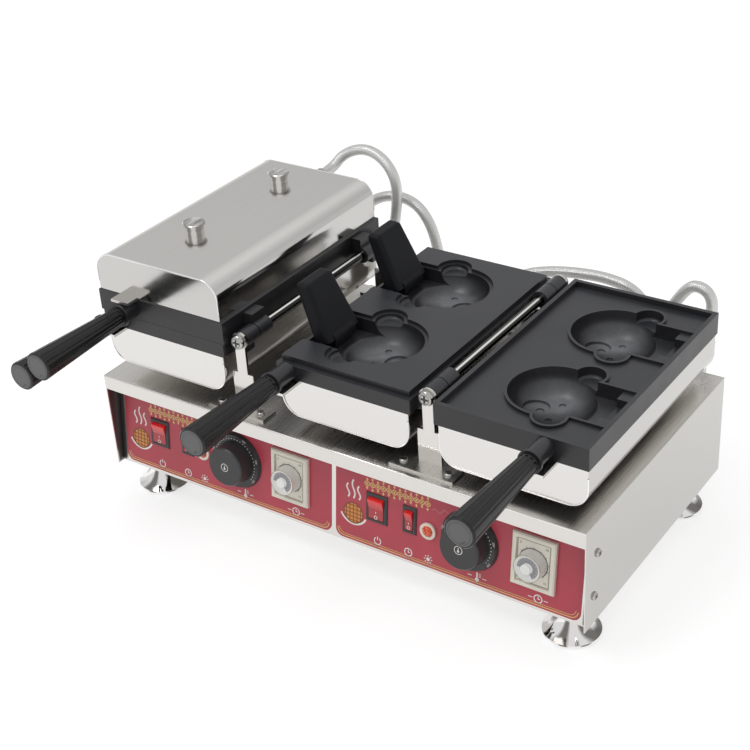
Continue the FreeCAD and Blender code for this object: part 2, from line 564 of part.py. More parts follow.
def hingeLines():
    rods, bigScrews = [], []
    reach = "frontY+panInset+bracketInset"
    for letter, x in hingeX.items():
        pair = [bracket("bracket%s%s" % (letter, word), x, end) for word, end in (("Front", -1), ("Rear", 1))]
        keep("brackets_" + letter, group("bracketPair" + letter, pair))
        bar = rod("bar" + letter, (x, reach + "+bracketThick", axisZ), "rodRadius",
                  "panDepth-2*bracketInset-2*bracketThick", "y")
        ends = []
        for word, face, way in (("Front", reach, 1), ("Rear", "frontY+panInset+panDepth-bracketInset", -1)):
            shank = "bracketThick+hingeScrewDeep"
            low = face if way > 0 else "%s-(%s)" % (face, shank)
            name = "bigScrew%s%s" % (letter, word)
            ends.append(rod(name + "Hole", (x, low, axisZ), "hingeScrew+screwFit", shank, "y"))
            disc = face + "-washerThick" if way > 0 else face
            head = face + "-washerThick-hingeHeadTall" if way > 0 else face + "+washerThick"
            blank = rod(name + "Cap", (x, head, axisZ), "hingeHead", "hingeHeadTall", "y")
            cap = domed(name + "Head", blank, "hingeHeadTall", vec(0, -way, 0))
            stem = rod(name + "Stem", (x, low, axisZ), "hingeScrew", shank, "y")
            washer = rod(name + "Washer", (x, disc, axisZ), "washer", "washerThick", "y")
            bigScrews.append(fuse(name, [cap, stem, washer]))
        rods.append(cut("rod" + letter, bar, ends))
    keep("hinge_rods", group("rodPair", rods))
    keep("rod_screws", group("bigScrewGroup", bigScrews))
    small = []
    for i, (x, y) in enumerate(flangeHoles):
        blank = rod("smallCap%d" % i, (x, y, topZ + "+flangeThick"), "smallHead", "smallHeadTall")
        cap = domed("smallHead%d" % i, blank, "smallHeadTall", vec(0, 0, 1))
        stem = rod("smallStem%d" % i, (x, y, topZ + "+flangeThick-smallLength"), "smallScrew", "smallLength")
        small.append(fuse("smallScrew%d" % i, [cap, stem]))
    keep("bracket_screws", group("smallScrewGroup", small))
    sides = []
    for side in (-1, 1):
        for high in sideScrewHigh:
            y, z = panelPoint(high, "-panelReturn/2")
            name = "sideScrew%d_%s" % (side, high)
            capX = "baseWidth/2" if side > 0 else "-baseWidth/2-smallHeadTall"
            stemX = "baseWidth/2-smallLength" if side > 0 else "-baseWidth/2"
            blank = rod(name + "Cap", (capX, y, z), "smallHead", "smallHeadTall", "x")
            cap = domed(name + "Head", blank, "smallHeadTall", vec(side, 0, 0))
            stem = rod(name + "Stem", (stemX, y, z), "smallScrew", "smallLength", "x")
            sides.append(fuse(name, [cap, stem]))
    keep("side_screws", group("sideScrewGroup", sides))


# ---------------------------------------------------------------- pans
cavityRows = ("panDepth/2-cavityPitch/2", "panDepth/2+cavityPitch/2")


def well(name, x, y, top, radius, deep, corner):
    """Round pocket with a rounded floor, cut down from the given height."""
    plug = rod(name + "Plug", (x, y, "%s-%s" % (top, deep)), radius, deep + "+10")
    return roundEdges(name, plug, size(corner),
                      lambda edge: edge.Closed and edge.CenterOfMass.z < plug.Shape.BoundBox.Center.z)


def moulds(name, side, top):
    """The two bear-head cavities: head bowl, ears, muzzle, eyes and nose."""
    tools = []
    floor = top + "-headDeep"
    for i, y in enumerate(cavityRows):
        tag = "%s%d" % (name, i)
        x, muzzleX, noseX = ["%d*(headCentre-%s)" % (side, inward) for inward in ("0", "muzzleIn", "noseIn")]
        tools.append(well(tag + "Head", x, y, top, "headMould", "headDeep", "headRound"))
        for ear in (-1, 1):
            spot = "%s%d" % (tag, ear)
            earX, eyeX = ["%d*(headCentre+%s)" % (side, outward) for outward in ("earOut", "eyeIn")]
            earY, eyeY = ["%s+%d*%s" % (y, ear, aside) for aside in ("earSide", "eyeSide")]
            tools.append(well(spot + "Ear", earX, earY, top, "earMould", "earDeep", "earRound"))
            tools.append(rod(spot + "Eye", (eyeX, eyeY, floor + "-eyeDeep"), "eyeRadius", "eyeDeep+5"))
        tools.append(rod(tag + "Muzzle", (muzzleX, y, floor + "-muzzleDeep"), "muzzleRadius", "muzzleDeep+5"))
        tools.append(rod(tag + "Nose", (noseX, y, floor + "-muzzleDeep-noseDeep"), "noseRadius",
                         "noseDeep+1"))
    return tools


def mouldEdge(name, side, extra, low, tall, reach):
    """Solid of both cavities' outlines, grown outwards: used for the raised ridge and for its groove."""
    pieces = []
    for i, y in enumerate(cavityRows):
        tag = "%s%d" % (name, i)
        pieces.append(rod(tag + "Head", ("%d*headCentre" % side, y, low), "headMould+" + extra, tall))
        for ear in (-1, 1):
            place = ("%d*(headCentre+earOut)" % side, "%s+%d*earSide" % (y, ear), low)
            pieces.append(rod("%sEar%d" % (tag, ear), place, "earMould+" + extra, tall))
        pieces.append(sideBox(tag + "Run", side, "headCentre", reach, (y + "-channelHalf-" + extra, low),
                              ("2*(channelHalf+%s)" % extra, tall)))
    return pieces


def bosses(name, side, low, top):
    return [rod("%sBoss%d" % (name, i), ("%d*headCentre" % side, y, low), "headMould+bossWall",
                "%s-(%s)" % (top, low)) for i, y in enumerate(cavityRows)]


def knuckles(name, side, near, far, edge):
    """Hinge barrels and their arms, a pair at each end of the pan."""
    pieces = []
    for word, low in (("Front", near), ("Rear", "panDepth-" + far)):
        long = far + "-" + near
        pieces.append(rod(name + word + "Barrel", ("0", low, "0"), "knuckleRadius", long, "y"))
        pieces.append(sideBox(name + word + "Arm", side, "0", edge + "+1", (low, "-armDrop"),
                              (long, "armDrop-armTop")))
    return pieces


def handleLug(name, side, out, drop, long):
    x = "%d*(%s)" % (side, out)
    lug = rod(name + "Lug", (x, "-" + long, "-" + drop), "lugRadius", long + "+1", "y")
    collar = rod(name + "Collar", (x, "-%s-collarThick" % long, "-" + drop), "collarRadius", "collarThick",
                 "y")
    return [lug, collar]


def lowerMould(name, side, grow, lug):
    """Pan with a raised rim and ridged cavities; its upper face lies below the hinge line."""
    face = "-faceDrop"
    far = "rimFar+" + grow
    plate = sideBox(name + "Plate", side, "rimNear", far, ("0", "-castSkirt"),
                    ("panDepth", "castSkirt+rimTop"))
    recess = sideBox(name + "Recess", side, "rimNear+rimWall", far + "-rimWall", ("rimWall", face),
                     ("panDepth-2*rimWall", "faceDrop+rimTop+1"))
    tray = cut(name + "Tray", plate, [recess])
    ridge = mouldEdge(name + "Ridge", side, "ridgeWall", face + "-1", "ridgeTall+1", far + "-rimWall/2")
    solid = fuse(name + "Solid", [tray] + ridge
                 + bosses(name, side, face + "-headDeep-muzzleDeep-noseDeep-bossFloor", "-castSkirt+1")
                 + knuckles(name, side, "knuckleNearF", "knuckleFarF", "rimNear")
                 + handleLug(name, side, "handleOutF+" + grow, "handleDropF", lug))
    tools = moulds(name + "Mould", side, face)
    for i, y in enumerate(cavityRows):
        tools.append(sideBox("%sChannel%d" % (name, i), side, "headCentre", "channelEnd",
                             (y + "-channelHalf", face + "-channelDeep"),
                             ("2*channelHalf", "channelDeep+10")))
        tools.append(sideBox("%sLeaf%d" % (name, i), side, "channelEnd-1", "leafEnd",
                             (y + "-leafHalf", face + "-leafDeep"), ("2*leafHalf", "leafDeep+10")))
        tools.append(sideBox("%sLevel%d" % (name, i), side, "channelEnd-1", far + "-rimWall",
                             (y + "-channelHalf", face), ("2*channelHalf", "10")))
    tools.append(rod(name + "RodHole", ("0", "0", "0"), "rodRadius+rodFit", "panDepth", "y"))
    return cut(name + "Cast", solid, tools)


def upperMould(name, side, grow, lug):
    """Pan with a raised plateau that sinks into the other pan's rim, and pockets for the two cores."""
    face = "plateauTop"
    flange = sideBox(name + "Flange", side, "flangeNear", "flangeFar+" + grow, ("0", "-plateauSkirt"),
                     ("panDepth", "plateauSkirt-flangeDrop"))
    plateau = sideBox(name + "Plateau", side, "plateauNear", "plateauFar+" + grow,
                      ("plateauInset", "-plateauSkirt"),
                      ("panDepth-2*plateauInset", "plateauSkirt+plateauTop"))
    solid = fuse(name + "Solid", [flange, plateau]
                 + bosses(name, side, "plateauTop-headDeep-muzzleDeep-noseDeep-bossFloor", "-plateauSkirt+1")
                 + [sideBox("%sThick%d" % (name, i), side, "pivotOut-barrelRadius-4", "pivotOut+barrelRadius",
                            (y + "-channelHalf-3", "-pivotDrop-barrelRadius-pocketFloor"),
                            ("2*channelHalf+6", "pocketFloor+5")) for i, y in enumerate(cavityRows)]
                 + knuckles(name, side, "knuckleNearM", "knuckleFarM", "flangeNear")
                 + handleLug(name, side, "handleOutM+" + grow, "handleDropM", lug))
    tools = moulds(name + "Mould", side, face)
    tools += mouldEdge(name + "Groove", side, "grooveWall", face + "-grooveDeep", "grooveDeep+10",
                       "plateauFar+1+" + grow)
    for i, y in enumerate(cavityRows):
        x = "%d*pivotOut" % side
        tools.append(sideBox("%sPocket%d" % (name, i), side, "headCentre", "pivotOut",
                             (y + "-channelHalf", "-pivotDrop-pocketDeep"),
                             ("2*channelHalf", "pocketDeep+20")))
        tools.append(sideBox("%sHeel%d" % (name, i), side, "pivotOut-1", "pivotOut+pocketOut",
                             (y + "-channelHalf", "-pivotDrop"), ("2*channelHalf", "20")))
        tools.append(rod("%sBarrelRoom%d" % (name, i), (x, y + "-channelHalf", "-pivotDrop"),
                         "barrelRadius+barrelPlay", "2*channelHalf", "y"))
        tools.append(rod("%sTrunnionHole%d" % (name, i), (x, y + "-coreHalf-trunnionReach-0.3", "-pivotDrop"),
                         "trunnion+rodFit", "2*(coreHalf+trunnionReach+0.3)", "y"))
    out = "handleOutM+" + grow
    tools.append(sideBox(name + "LugStep", side, out + "-lugRadius", out + "+lugRadius",
                         ("-lugGap", "-flangeDrop"), ("lugGap+1", "20")))
    tools.append(rod(name + "RodHole", ("0", "0", "0"), "rodRadius+rodFit", "panDepth", "y"))
    return cut(name + "Cast", solid, tools)


def runsAlongFloor(edge, block):
    span, box = block.Shape.BoundBox, edge.BoundBox
    return box.YLength > span.YLength - 0.01 and box.ZMax < span.ZMin + 0.01


def tray(name, side, near, far, top, drop, out, tabTop, lug):
    """Folded steel tray round the heater, rounded along its two long bottom edges, with the handle's tab."""
    outer = sideBox(name + "Outer", side, near, far, ("trayInset", "-" + drop),
                    ("panDepth-2*trayInset", drop + "-" + top))
    outerRound = roundEdges(name + "OuterRound", outer, size("trayCorner"),
                            lambda edge: runsAlongFloor(edge, outer))
    doc.recompute()
    openRim = outerRound.Shape.BoundBox.ZMax
    outerBent = roundEdges(name + "OuterBent", outerRound, size("trayBend"),
                           lambda edge: edge.BoundBox.YLength < 0.01 and edge.BoundBox.ZMin < openRim - 0.1)
    inner = sideBox(name + "Inner", side, near + "+trayWall", far + "-trayWall",
                    ("trayInset+trayWall", "-%s+trayWall" % drop),
                    ("panDepth-2*trayInset-2*trayWall", drop + "-" + top))
    innerRound = roundEdges(name + "InnerRound", inner, size("trayCorner") - size("trayWall"),
                            lambda edge: runsAlongFloor(edge, inner))
    shell = cut(name + "Shell", outerBent, [innerRound])
    tab = sideBox(name + "Tab", side, out + "-tabWide/2", out + "+tabWide/2",
                  ("tabShort-" + lug, "-(%s)-tabThick" % tabTop),
                  (lug + "-tabShort+trayInset+trayWall", "tabThick"))
    return fuse(name + "Whole", [shell, tab])


def heater(name, side, drop):
    """Hairpin element clamped under the cavities."""
    z = "-(%s)-heaterRadius-heaterGap" % drop
    y = "panDepth/2-heaterLong/2"
    legs = [rod("%sLeg%d" % (name, leg), ("%d*headCentre+%d*heaterHalf" % (side, leg), y, z), "heaterRadius",
                "heaterLong", "y") for leg in (-1, 1)]
    bend = doc.addObject("Part::Torus", name + "Bend")
    bend.Angle3 = 180
    bind(bend, {"Radius1": "heaterHalf", "Radius2": "heaterRadius"})
    put(bend, ("%d*headCentre" % side, y + "+heaterLong", z))
    return fuse(name + "Whole", legs + [bend])


def grip(name, side, out, drop, lug):
    """Tapered grip with shallow flutes, running forward from the lug's collar."""
    x, start = "%d*(%s)" % (side, out), "-%s-collarThick" % lug
    cone = doc.addObject("Part::Cone", name + "Taper")
    turn(cone, (1, 0, 0), 90)
    bind(cone, {"Radius1": "gripRoot", "Radius2": "gripEnd", "Height": "gripLong"})
    put(cone, (x, start, "-" + drop))
    doc.recompute()
    rim = [i + 1 for i, edge in enumerate(cone.Shape.Edges)
           if edge.Closed and edge.CenterOfMass.y < -size("gripLong")]
    blunt = doc.addObject("Part::Chamfer", name + "Blunt")
    blunt.Base = cone
    blunt.Edges = [(index, size("gripChamfer"), size("gripChamfer")) for index in rim]
    count = int(size("fluteCount"))
    slope = math.degrees(math.atan((size("gripEnd") - size("gripRoot")) / size("gripLong")))
    flutes = []
    for i in range(count):
        angle = 360.0 * i / count
        flute = doc.addObject("Part::Cylinder", "%sFlute%d" % (name, i))
        bind(flute, {"Radius": "fluteRadius", "Height": "gripLong+fluteStart-fluteStop"})
        lean = FreeCAD.Rotation(vec(0, 0, 1), angle).multiply(FreeCAD.Rotation(vec(0, 1, 0), slope))
        flute.Placement.Rotation = FreeCAD.Rotation(vec(1, 0, 0), 90).multiply(lean)
        away = "(gripRoot+fluteRadius-fluteSink)"
        put(flute, ("%s+%s*%.6f" % (x, away, math.cos(math.radians(angle))), start + "-fluteStart",
                    "-%s+%s*%.6f" % (drop, away, math.sin(math.radians(angle)))))
        flutes.append(flute)
    return cut(name + "Grip", blunt, flutes)


def gland(name, x, y, z):
    """Hexagonal nut and round collar that grip the end of a conduit."""
    nut = doc.addObject("Part::Prism", name + "Nut")
    nut.Polygon = 6
    turn(nut, (1, 0, 0), -90)
    put(bind(nut, {"Circumradius": "glandNut", "Height": "glandNutThick"}), (x, y, z))
    collar = rod(name + "Collar", (x, y, z), "glandCollar", "glandLong", "y")
    return fuse(name + "Whole", [nut, collar])


def core(label, axis, y, lift):
    """Block that leaves the hollow in a cake: tapered both ways, with barrel and trunnions at its heel."""
    block = body(label + "Block")
    side = [("-coreHeel", "-coreRoot"), ("coreLong-coreTipSlant", "coreTipLift-coreTip"),
            ("coreLong", "coreTipLift+coreTip"), ("-coreHeel", "coreRoot")]
    pad(block, outline(block, label + "Side", "XZ_Plane", [side]), "2*coreHalf", both=True)
    taper = [[("-coreHeel", sign + "coreHalf"), ("coreLong", sign + "coreTipHalf"),
              ("coreLong", sign + "2*coreHalf"), ("-coreHeel", sign + "2*coreHalf")] for sign in ("", "-")]
    pocket(block, outline(block, label + "Taper", "XY_Plane", taper), "100", both=True)
    doc.recompute()
    tip = size("coreLong") - size("coreTipSlant") - 0.01
    edges = ["Edge%d" % (i + 1) for i, edge in enumerate(block.Shape.Edges) if edge.BoundBox.XMax > tip]
    wedge = block.Tip
    soft = block.newObject("PartDesign::Fillet", label + "Soft")
    soft.Base = (wedge, edges)
    bind(soft, {"Radius": "coreEdge"})
    block.Tip = soft
    barrel = outline(block, label + "Barrel", "XZ_Plane", [], [("0", "0", "barrelRadius")])
    pad(block, barrel, "2*barrelHalf", both=True)
    pins = outline(block, label + "Pins", "XZ_Plane", [], [("0", "0", "trunnion")])
    pad(block, pins, "2*(coreHalf+trunnionReach)", both=True)
    block.Placement.Rotation = FreeCAD.Rotation(vec(0, 1, 0), -lift)
    put(block, ("%s-pivotOut" % axis, "frontY+panInset+" + y, axisZ + "-pivotDrop"))
    keep(label, block)


def place(item, station, folded):
    if folded:
        turn(item, (0, 1, 0), 180)
    return put(item, (hingeX[station], "frontY+panInset", axisZ))


def pan(station, level):
    """All pieces of one pan. The rimmed kind belongs right of its hinge, the plateau kind left of it."""
    name = station + "_" + level
    rimmed = (station == "a") == (level == "upper")
    side = 1 if rimmed else -1
    folded = station == "a" and level == "upper"
    grow, lug = {"a": ("leftGrow", "leftLug"), "b": ("rightGrow", "rightLug")}[station]
    if rimmed:
        out = "handleOutF+" + grow
        casting = lowerMould(name, side, grow, lug)
        case = tray(name + "Case", side, "trayNearF", "trayFarF+" + grow, "castSkirt", "trayDropF", out,
                    "castSkirt", lug)
        element = heater(name + "Heat", side, "faceDrop+headDeep+muzzleDeep+noseDeep+bossFloor")
        handle = grip(name, side, out, "handleDropF", lug)
        fitting = gland(name + "Gland", "%d*glandOutF" % side, "panDepth-trayInset", "-glandDropF")
    else:
        out = "handleOutM+" + grow
        casting = upperMould(name, side, grow, lug)
        case = tray(name + "Case", side, "trayNearM", "trayFarM+" + grow, "plateauSkirt", "trayDropM", out,
                    "handleDropM+lugRadius", lug)
        element = heater(name + "Heat", side, "headDeep+muzzleDeep+noseDeep+bossFloor-plateauTop")
        handle = grip(name, side, out, "handleDropM", lug)
        fitting = gland(name + "Gland", "%d*glandOutM" % side, "panDepth-trayInset", "-glandDropM")
    for word, item in (("casting", casting), ("casing", case), ("heater", element), ("grip", handle),
                       ("gland", fitting)):
        keep(name + "_" + word, place(item, station, folded))
    if not rimmed:
        lift = size("coreLift") if station == "b" else 0
        for word, y in zip(("front", "rear"), cavityRows):
            core("core_%s_%s" % (station, word), hingeX[station], y, lift)


def coverKnobs():
    """Turned clamp nuts that stand on the folded pan's outer face: body, groove and bevelled cap."""
    knobs = []
    for i, way in enumerate((-1, 1)):
        knob = body("clampKnob%d" % i)
        shoulder = "coverKnobTall-coverKnobCap"
        face = outline(knob, "knobProfile%d" % i, "XZ_Plane",
                       [[("0", "0"), ("coverKnobBody", "0"), ("coverKnobBody", shoulder + "-coverKnobGroove"),
                         ("coverKnobNeck", shoulder + "-coverKnobGroove"), ("coverKnobNeck", shoulder),
                         ("coverKnobHead", shoulder), ("coverKnobHead", "coverKnobTall-coverKnobBevel"),
                         ("coverKnobHead-coverKnobBevel", "coverKnobTall"), ("0", "coverKnobTall")]])
        spin = knob.newObject("PartDesign::Revolution", "knobSpin%d" % i)
        spin.Profile = face
        spin.ReferenceAxis = (face, ["V_Axis"])
        spin.Angle = 360
        turn(knob, (1, 0, 0), 180)
        y = "panDepth/2+coverKnobShift+%d*coverKnobSpread/2" % way
        knobs.append(put(knob, ("coverKnobOut", y, "-trayDropF")))
    keep("cover_knobs", place(group("knobPair", knobs), "a", True))


# ---------------------------------------------------------------- conduits
def tubeAlong(label, points, radius):
    """Tube of straight runs joined by tangent arcs, each as large as its two runs allow."""
    edges, radii, last = [], [], points[0]
    for before, corner, after in zip(points, points[1:], points[2:]):
        back, onward = before - corner, after - corner
        half = (math.pi - back.getAngle(onward)) / 2
        reach = 0.45 * min(back.Length, onward.Length)
        radii.append(reach / math.tan(half))
        enter, leave = corner + back.normalize() * reach, corner + onward.normalize() * reach
        inward = (back + onward).normalize()
        sag = radii[-1] / math.cos(half) - radii[-1]
        edges.append(Part.LineSegment(last, enter).toShape())
        edges.append(Part.Arc(enter, corner + inward * sag, leave).toShape())
        last = leave
    edges.append(Part.LineSegment(last, points[-1]).toShape())
    path = Part.Wire(edges)
    section = Part.Wire(Part.Circle(points[0], points[1] - points[0], radius).toShape())
    tube = path.makePipeShell([section], True, False)
    ratio = tube.Volume / (math.pi * radius ** 2 * path.Length)
    print(label, "length %.0f, volume ratio %.4f" % (path.Length, ratio))
    print("arc radii", ", ".join("%.0f" % value for value in radii))
    item = doc.addObject("Part::Feature", label + "Tube")
    item.Shape = tube
    keep(label, item)


# Conduit routes between their two fittings: x, then y behind the base's front and z above its top.
hoseRoutes = {
    "a_upper": [(-209, 356, 149), (-180, 358, 161), (-150, 354, 155), (-131, 351, 132), (-131, 350, 101),
                (-139, 353, 68), (-146, 360, 36)],
    "a_lower": [(-208, 362, 50), (-197, 368, 74), (-173, 372, 93), (-145, 372, 101), (-117, 371, 96),
                (-98, 370, 75), (-88, 369, 44)],
    "b_upper": [(36, 356, 45), (70, 357, 56), (107, 354, 64), (143, 353, 67), (175, 355, 60), (192, 360, 36)],
    "b_lower": [(216, 361, 42), (236, 363, 74), (249, 363, 77), (260, 362, 72), (265, 362, 60),
                (263, 363, 40)],
}
hoseTail = [(366, 10), (372, -20), (370, -46)]


def conduits():
    frontY, topHeight = size("frontY"), size("footHeight") + size("boxHeight")
    axisHeight = topHeight + size("axisRise")
    fittings = []
    for name, route in hoseRoutes.items():
        rimmed = name in ("a_upper", "b_lower")
        folded = -1 if name == "a_upper" else 1
        kind = "F" if rimmed else "M"
        hinge = -size("axisLeft") if name[0] == "a" else size("axisRight")
        startX = hinge + (1 if rimmed else -1) * folded * size("glandOut" + kind)
        startY = frontY + size("panInset") + size("panDepth") - size("trayInset") + size("glandLong")
        startZ = axisHeight - folded * size("glandDrop" + kind)
        footX = float(hoseFeet[name])
        endY = frontY + size("baseDepth") + size("glandLong")
        endZ = topHeight - size("baseGlandDrop")
        points = [vec(startX, startY, startZ), vec(startX, startY + size("hoseExit"), startZ)]
        points += [vec(x, y + frontY, z + topHeight) for x, y, z in route]
        points += [vec(footX, y + frontY, z + topHeight) for y, z in hoseTail]
        points += [vec(footX, endY + size("hoseExit"), endZ), vec(footX, endY, endZ)]
        tubeAlong("hose_" + name, points, size("hoseRadius"))
        fittings.append(gland("baseGland" + name, hoseFeet[name], backY, topZ + "-baseGlandDrop"))
    mains = rod("mainsGland", ("mainsX", backY, "footHeight+mainsHigh"), "mainsRadius+3", "mainsLong", "y")
    keep("base_glands", group("glandGroup", fittings + [mains]))


baseHousing()
controlPanel()
controls()
plates()
feet()
hingeLines()
for station in ("a", "b"):
    for level in ("lower", "upper"):
        pan(station, level)
coverKnobs()
conduits()
doc.recompute()

bad = [item.Label for item in doc.Objects if "Invalid" in item.State or "Error" in item.State]
if bad:
    raise RuntimeError("failed: " + ", ".join(bad))
for label, item in nodes.items():
    if item.Shape.isNull() or not item.Shape.isValid() or not item.Shape.Solids:
        raise RuntimeError("bad shape: " + label)
for label, item in nodes.items():
    item.Shape.exportStep("parts/%s.step" % label)
print(len(nodes), "nodes")
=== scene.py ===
import bpy
import math
from mathutils import Matrix, Vector


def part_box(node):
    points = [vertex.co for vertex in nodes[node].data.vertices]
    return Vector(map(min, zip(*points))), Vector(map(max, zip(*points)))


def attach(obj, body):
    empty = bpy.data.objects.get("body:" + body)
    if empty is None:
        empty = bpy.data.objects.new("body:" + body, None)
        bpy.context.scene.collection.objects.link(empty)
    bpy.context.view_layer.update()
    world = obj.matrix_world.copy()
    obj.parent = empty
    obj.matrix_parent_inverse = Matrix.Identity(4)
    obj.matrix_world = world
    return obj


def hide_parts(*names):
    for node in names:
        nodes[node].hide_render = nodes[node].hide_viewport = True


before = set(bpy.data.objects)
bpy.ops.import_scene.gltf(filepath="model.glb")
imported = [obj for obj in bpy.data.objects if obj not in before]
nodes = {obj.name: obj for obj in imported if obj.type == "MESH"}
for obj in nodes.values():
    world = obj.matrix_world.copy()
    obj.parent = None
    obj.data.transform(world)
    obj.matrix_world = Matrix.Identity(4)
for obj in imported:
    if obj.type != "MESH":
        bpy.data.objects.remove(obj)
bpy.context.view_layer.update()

# The same few sizes that the solids are built from, in metres.
base = {"front": -0.0995, "depth": 0.320, "top": 0.155, "width": 0.600, "foot": 0.038, "box": 0.117}
line = {"left": -0.118, "right": 0.114, "rise": 0.079, "panInset": 0.017, "panDepth": 0.292}
halves = (("left", -1), ("right", 1))
hingeLines = (("a", line["left"]), ("b", line["right"]))
pans = ("a_upper", "a_lower", "b_upper", "b_lower")
panFront = base["front"] + line["panInset"]
panBack = panFront + line["panDepth"]

cameraSizes = {"place": (0.80196, -1.10739, 0.99896), "azimuth": 35.87, "elevation": 30.66, "roll": -3.78,
               "focal": 72.53, "sensor": 36.0}


def newObject(name, data):
    made = bpy.data.objects.new(name, data)
    bpy.context.collection.objects.link(made)
    return made


def makeCamera(values):
    lens = bpy.data.cameras.new("mainCamera")
    lens.lens = values["focal"]
    lens.sensor_width = values["sensor"]
    camera = newObject("mainCamera", lens)
    turned = (Matrix.Rotation(math.radians(values["azimuth"]), 3, "Z")
              @ Matrix.Rotation(math.radians(90 - values["elevation"]), 3, "X")
              @ Matrix.Rotation(math.radians(values["roll"]), 3, "Z"))
    camera.matrix_world = Matrix.Translation(values["place"]) @ turned.to_4x4()
    bpy.context.scene.camera = camera


makeCamera(cameraSizes)
print("camera placed")


# A shader socket that Python's own operators work on.
class Value:
    def __init__(self, paint, socket):
        self.paint = paint
        self.socket = socket

    def maths(self, operation, *others):
        return self.paint.add("ShaderNodeMath", {"operation": operation}, (self, *others))[0]

    def __add__(self, other):
        return self.maths("ADD", other)

    def __sub__(self, other):
        return self.maths("SUBTRACT", other)

    def __rsub__(self, other):
        return self.paint.add("ShaderNodeMath", {"operation": "SUBTRACT"}, (other, self))[0]

    def __mul__(self, other):
        return self.maths("MULTIPLY", other)

    __radd__ = __add__
    __rmul__ = __mul__


# The node tree of a material or of the world, built with one call for each node.
class Paint:
    coordinateSockets = {"Generated": 0, "Normal": 1, "UV": 2, "Object": 3}
    colourSockets = {"factor": 0, "first": 6, "second": 7, "result": 2}

    def __init__(self, holder):
        if isinstance(holder, str):
            holder = bpy.data.materials.new(holder)
        holder.use_nodes = True
        self.holder = holder
        self.tree = holder.node_tree
        self.tree.nodes.clear()

    def add(self, kind, settings=None, inputs=()):
        node = self.tree.nodes.new(kind)
        for name, value in (settings or {}).items():
            setattr(node, name, value)
        pairs = inputs.items() if isinstance(inputs, dict) else enumerate(inputs)
        for key, value in pairs:
            if isinstance(value, Value):
                self.tree.links.new(value.socket, node.inputs[key])
            else:
                node.inputs[key].default_value = value
        return [Value(self, socket) for socket in node.outputs]

    def blend(self, factor, first, second):
        sockets = self.colourSockets
        inputs = {sockets["factor"]: factor, sockets["first"]: wide(first), sockets["second"]: wide(second)}
        return self.add("ShaderNodeMix", {"data_type": "RGBA"}, inputs)[sockets["result"]]

    def coordinates(self, kind):
        return self.add("ShaderNodeTexCoord")[self.coordinateSockets[kind]]

    def stretched(self, scale=(1, 1, 1), kind="Object"):
        return self.add("ShaderNodeMapping", {}, {"Vector": self.coordinates(kind), "Scale": scale})[0]

    def split(self, vector):
        return self.add("ShaderNodeSeparateXYZ", {}, (vector,))

    def place(self):
        return self.split(self.stretched())

    def look(self):
        # the surface's direction along the object's own axes
        return self.split(self.coordinates("Normal"))

    def facing(self):
        return [part.maths("ABSOLUTE") for part in self.look()]

    def noise(self, vector, scale, detail=2.0, roughness=0.5):
        return self.add("ShaderNodeTexNoise", {}, {"Vector": vector, "Scale": scale, "Detail": detail,
                                                   "Roughness": roughness})[0]

    def grain(self, stretch, *how):
        return self.noise(self.stretched(stretch), 1.0, *how)

    def between(self, value, low, high, outLow=0.0, outHigh=1.0):
        return self.add("ShaderNodeMapRange", {}, (value, low, high, outLow, outHigh))[0]

    def bump(self, height, strength, distance=0.0003, **more):
        inputs = {"Strength": strength, "Distance": distance, "Height": height, **more}
        return self.add("ShaderNodeBump", {}, inputs)[0]

    def finish(self, **inputs):
        named = {key.replace("_", " "): wide(value) if key in ("Base_Color", "Emission_Color") else value
                 for key, value in inputs.items()}
        self.add("ShaderNodeOutputMaterial", {}, (self.add("ShaderNodeBsdfPrincipled", {}, named)[0],))
        return self.holder


def wide(colour):
    return (*colour, 1.0) if isinstance(colour, tuple) and len(colour) == 3 else colour


def shaded(colour, part):
    return tuple(value * part for value in colour)


def shifted(values, by):
    return [value + by for value in values]


def makePiece(name, points, faces, material, body, slot, smooth=False):
    mesh = bpy.data.meshes.new(name)
    mesh.from_pydata([tuple(point) for point in points], [], faces)
    mesh.update()
    piece = newObject(name, mesh)
    mesh.materials.append(material)
    for face in mesh.polygons:
        face.use_smooth = smooth
    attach(piece, body)
    return piece


def circlePoints(place, first, second, radius, sides):
    angles = [math.tau * k / sides for k in range(sides)]
    return [place + (first * math.cos(angle) + second * math.sin(angle)) * radius for angle in angles]


def tubeFaces(rows, sides, closed=False):
    # quads between rings of points, and back to the first ring when closed
    faces = []
    for row in range(rows if closed else rows - 1):
        after = (row + 1) % rows
        for k in range(sides):
            m = (k + 1) % sides
            faces.append((row * sides + k, row * sides + m, after * sides + m, after * sides + k))
    return faces


def curveMesh(curve):
    # the points and faces that a curve gives, taken off a passing object
    holder = newObject(curve.name, curve)
    bpy.context.view_layer.update()
    mesh = bpy.data.meshes.new_from_object(holder.evaluated_get(bpy.context.evaluated_depsgraph_get()))
    points = [vertex.co.copy() for vertex in mesh.vertices]
    faces = [tuple(face.vertices) for face in mesh.polygons]
    bpy.data.objects.remove(holder)
    bpy.data.meshes.remove(mesh)
    return points, faces


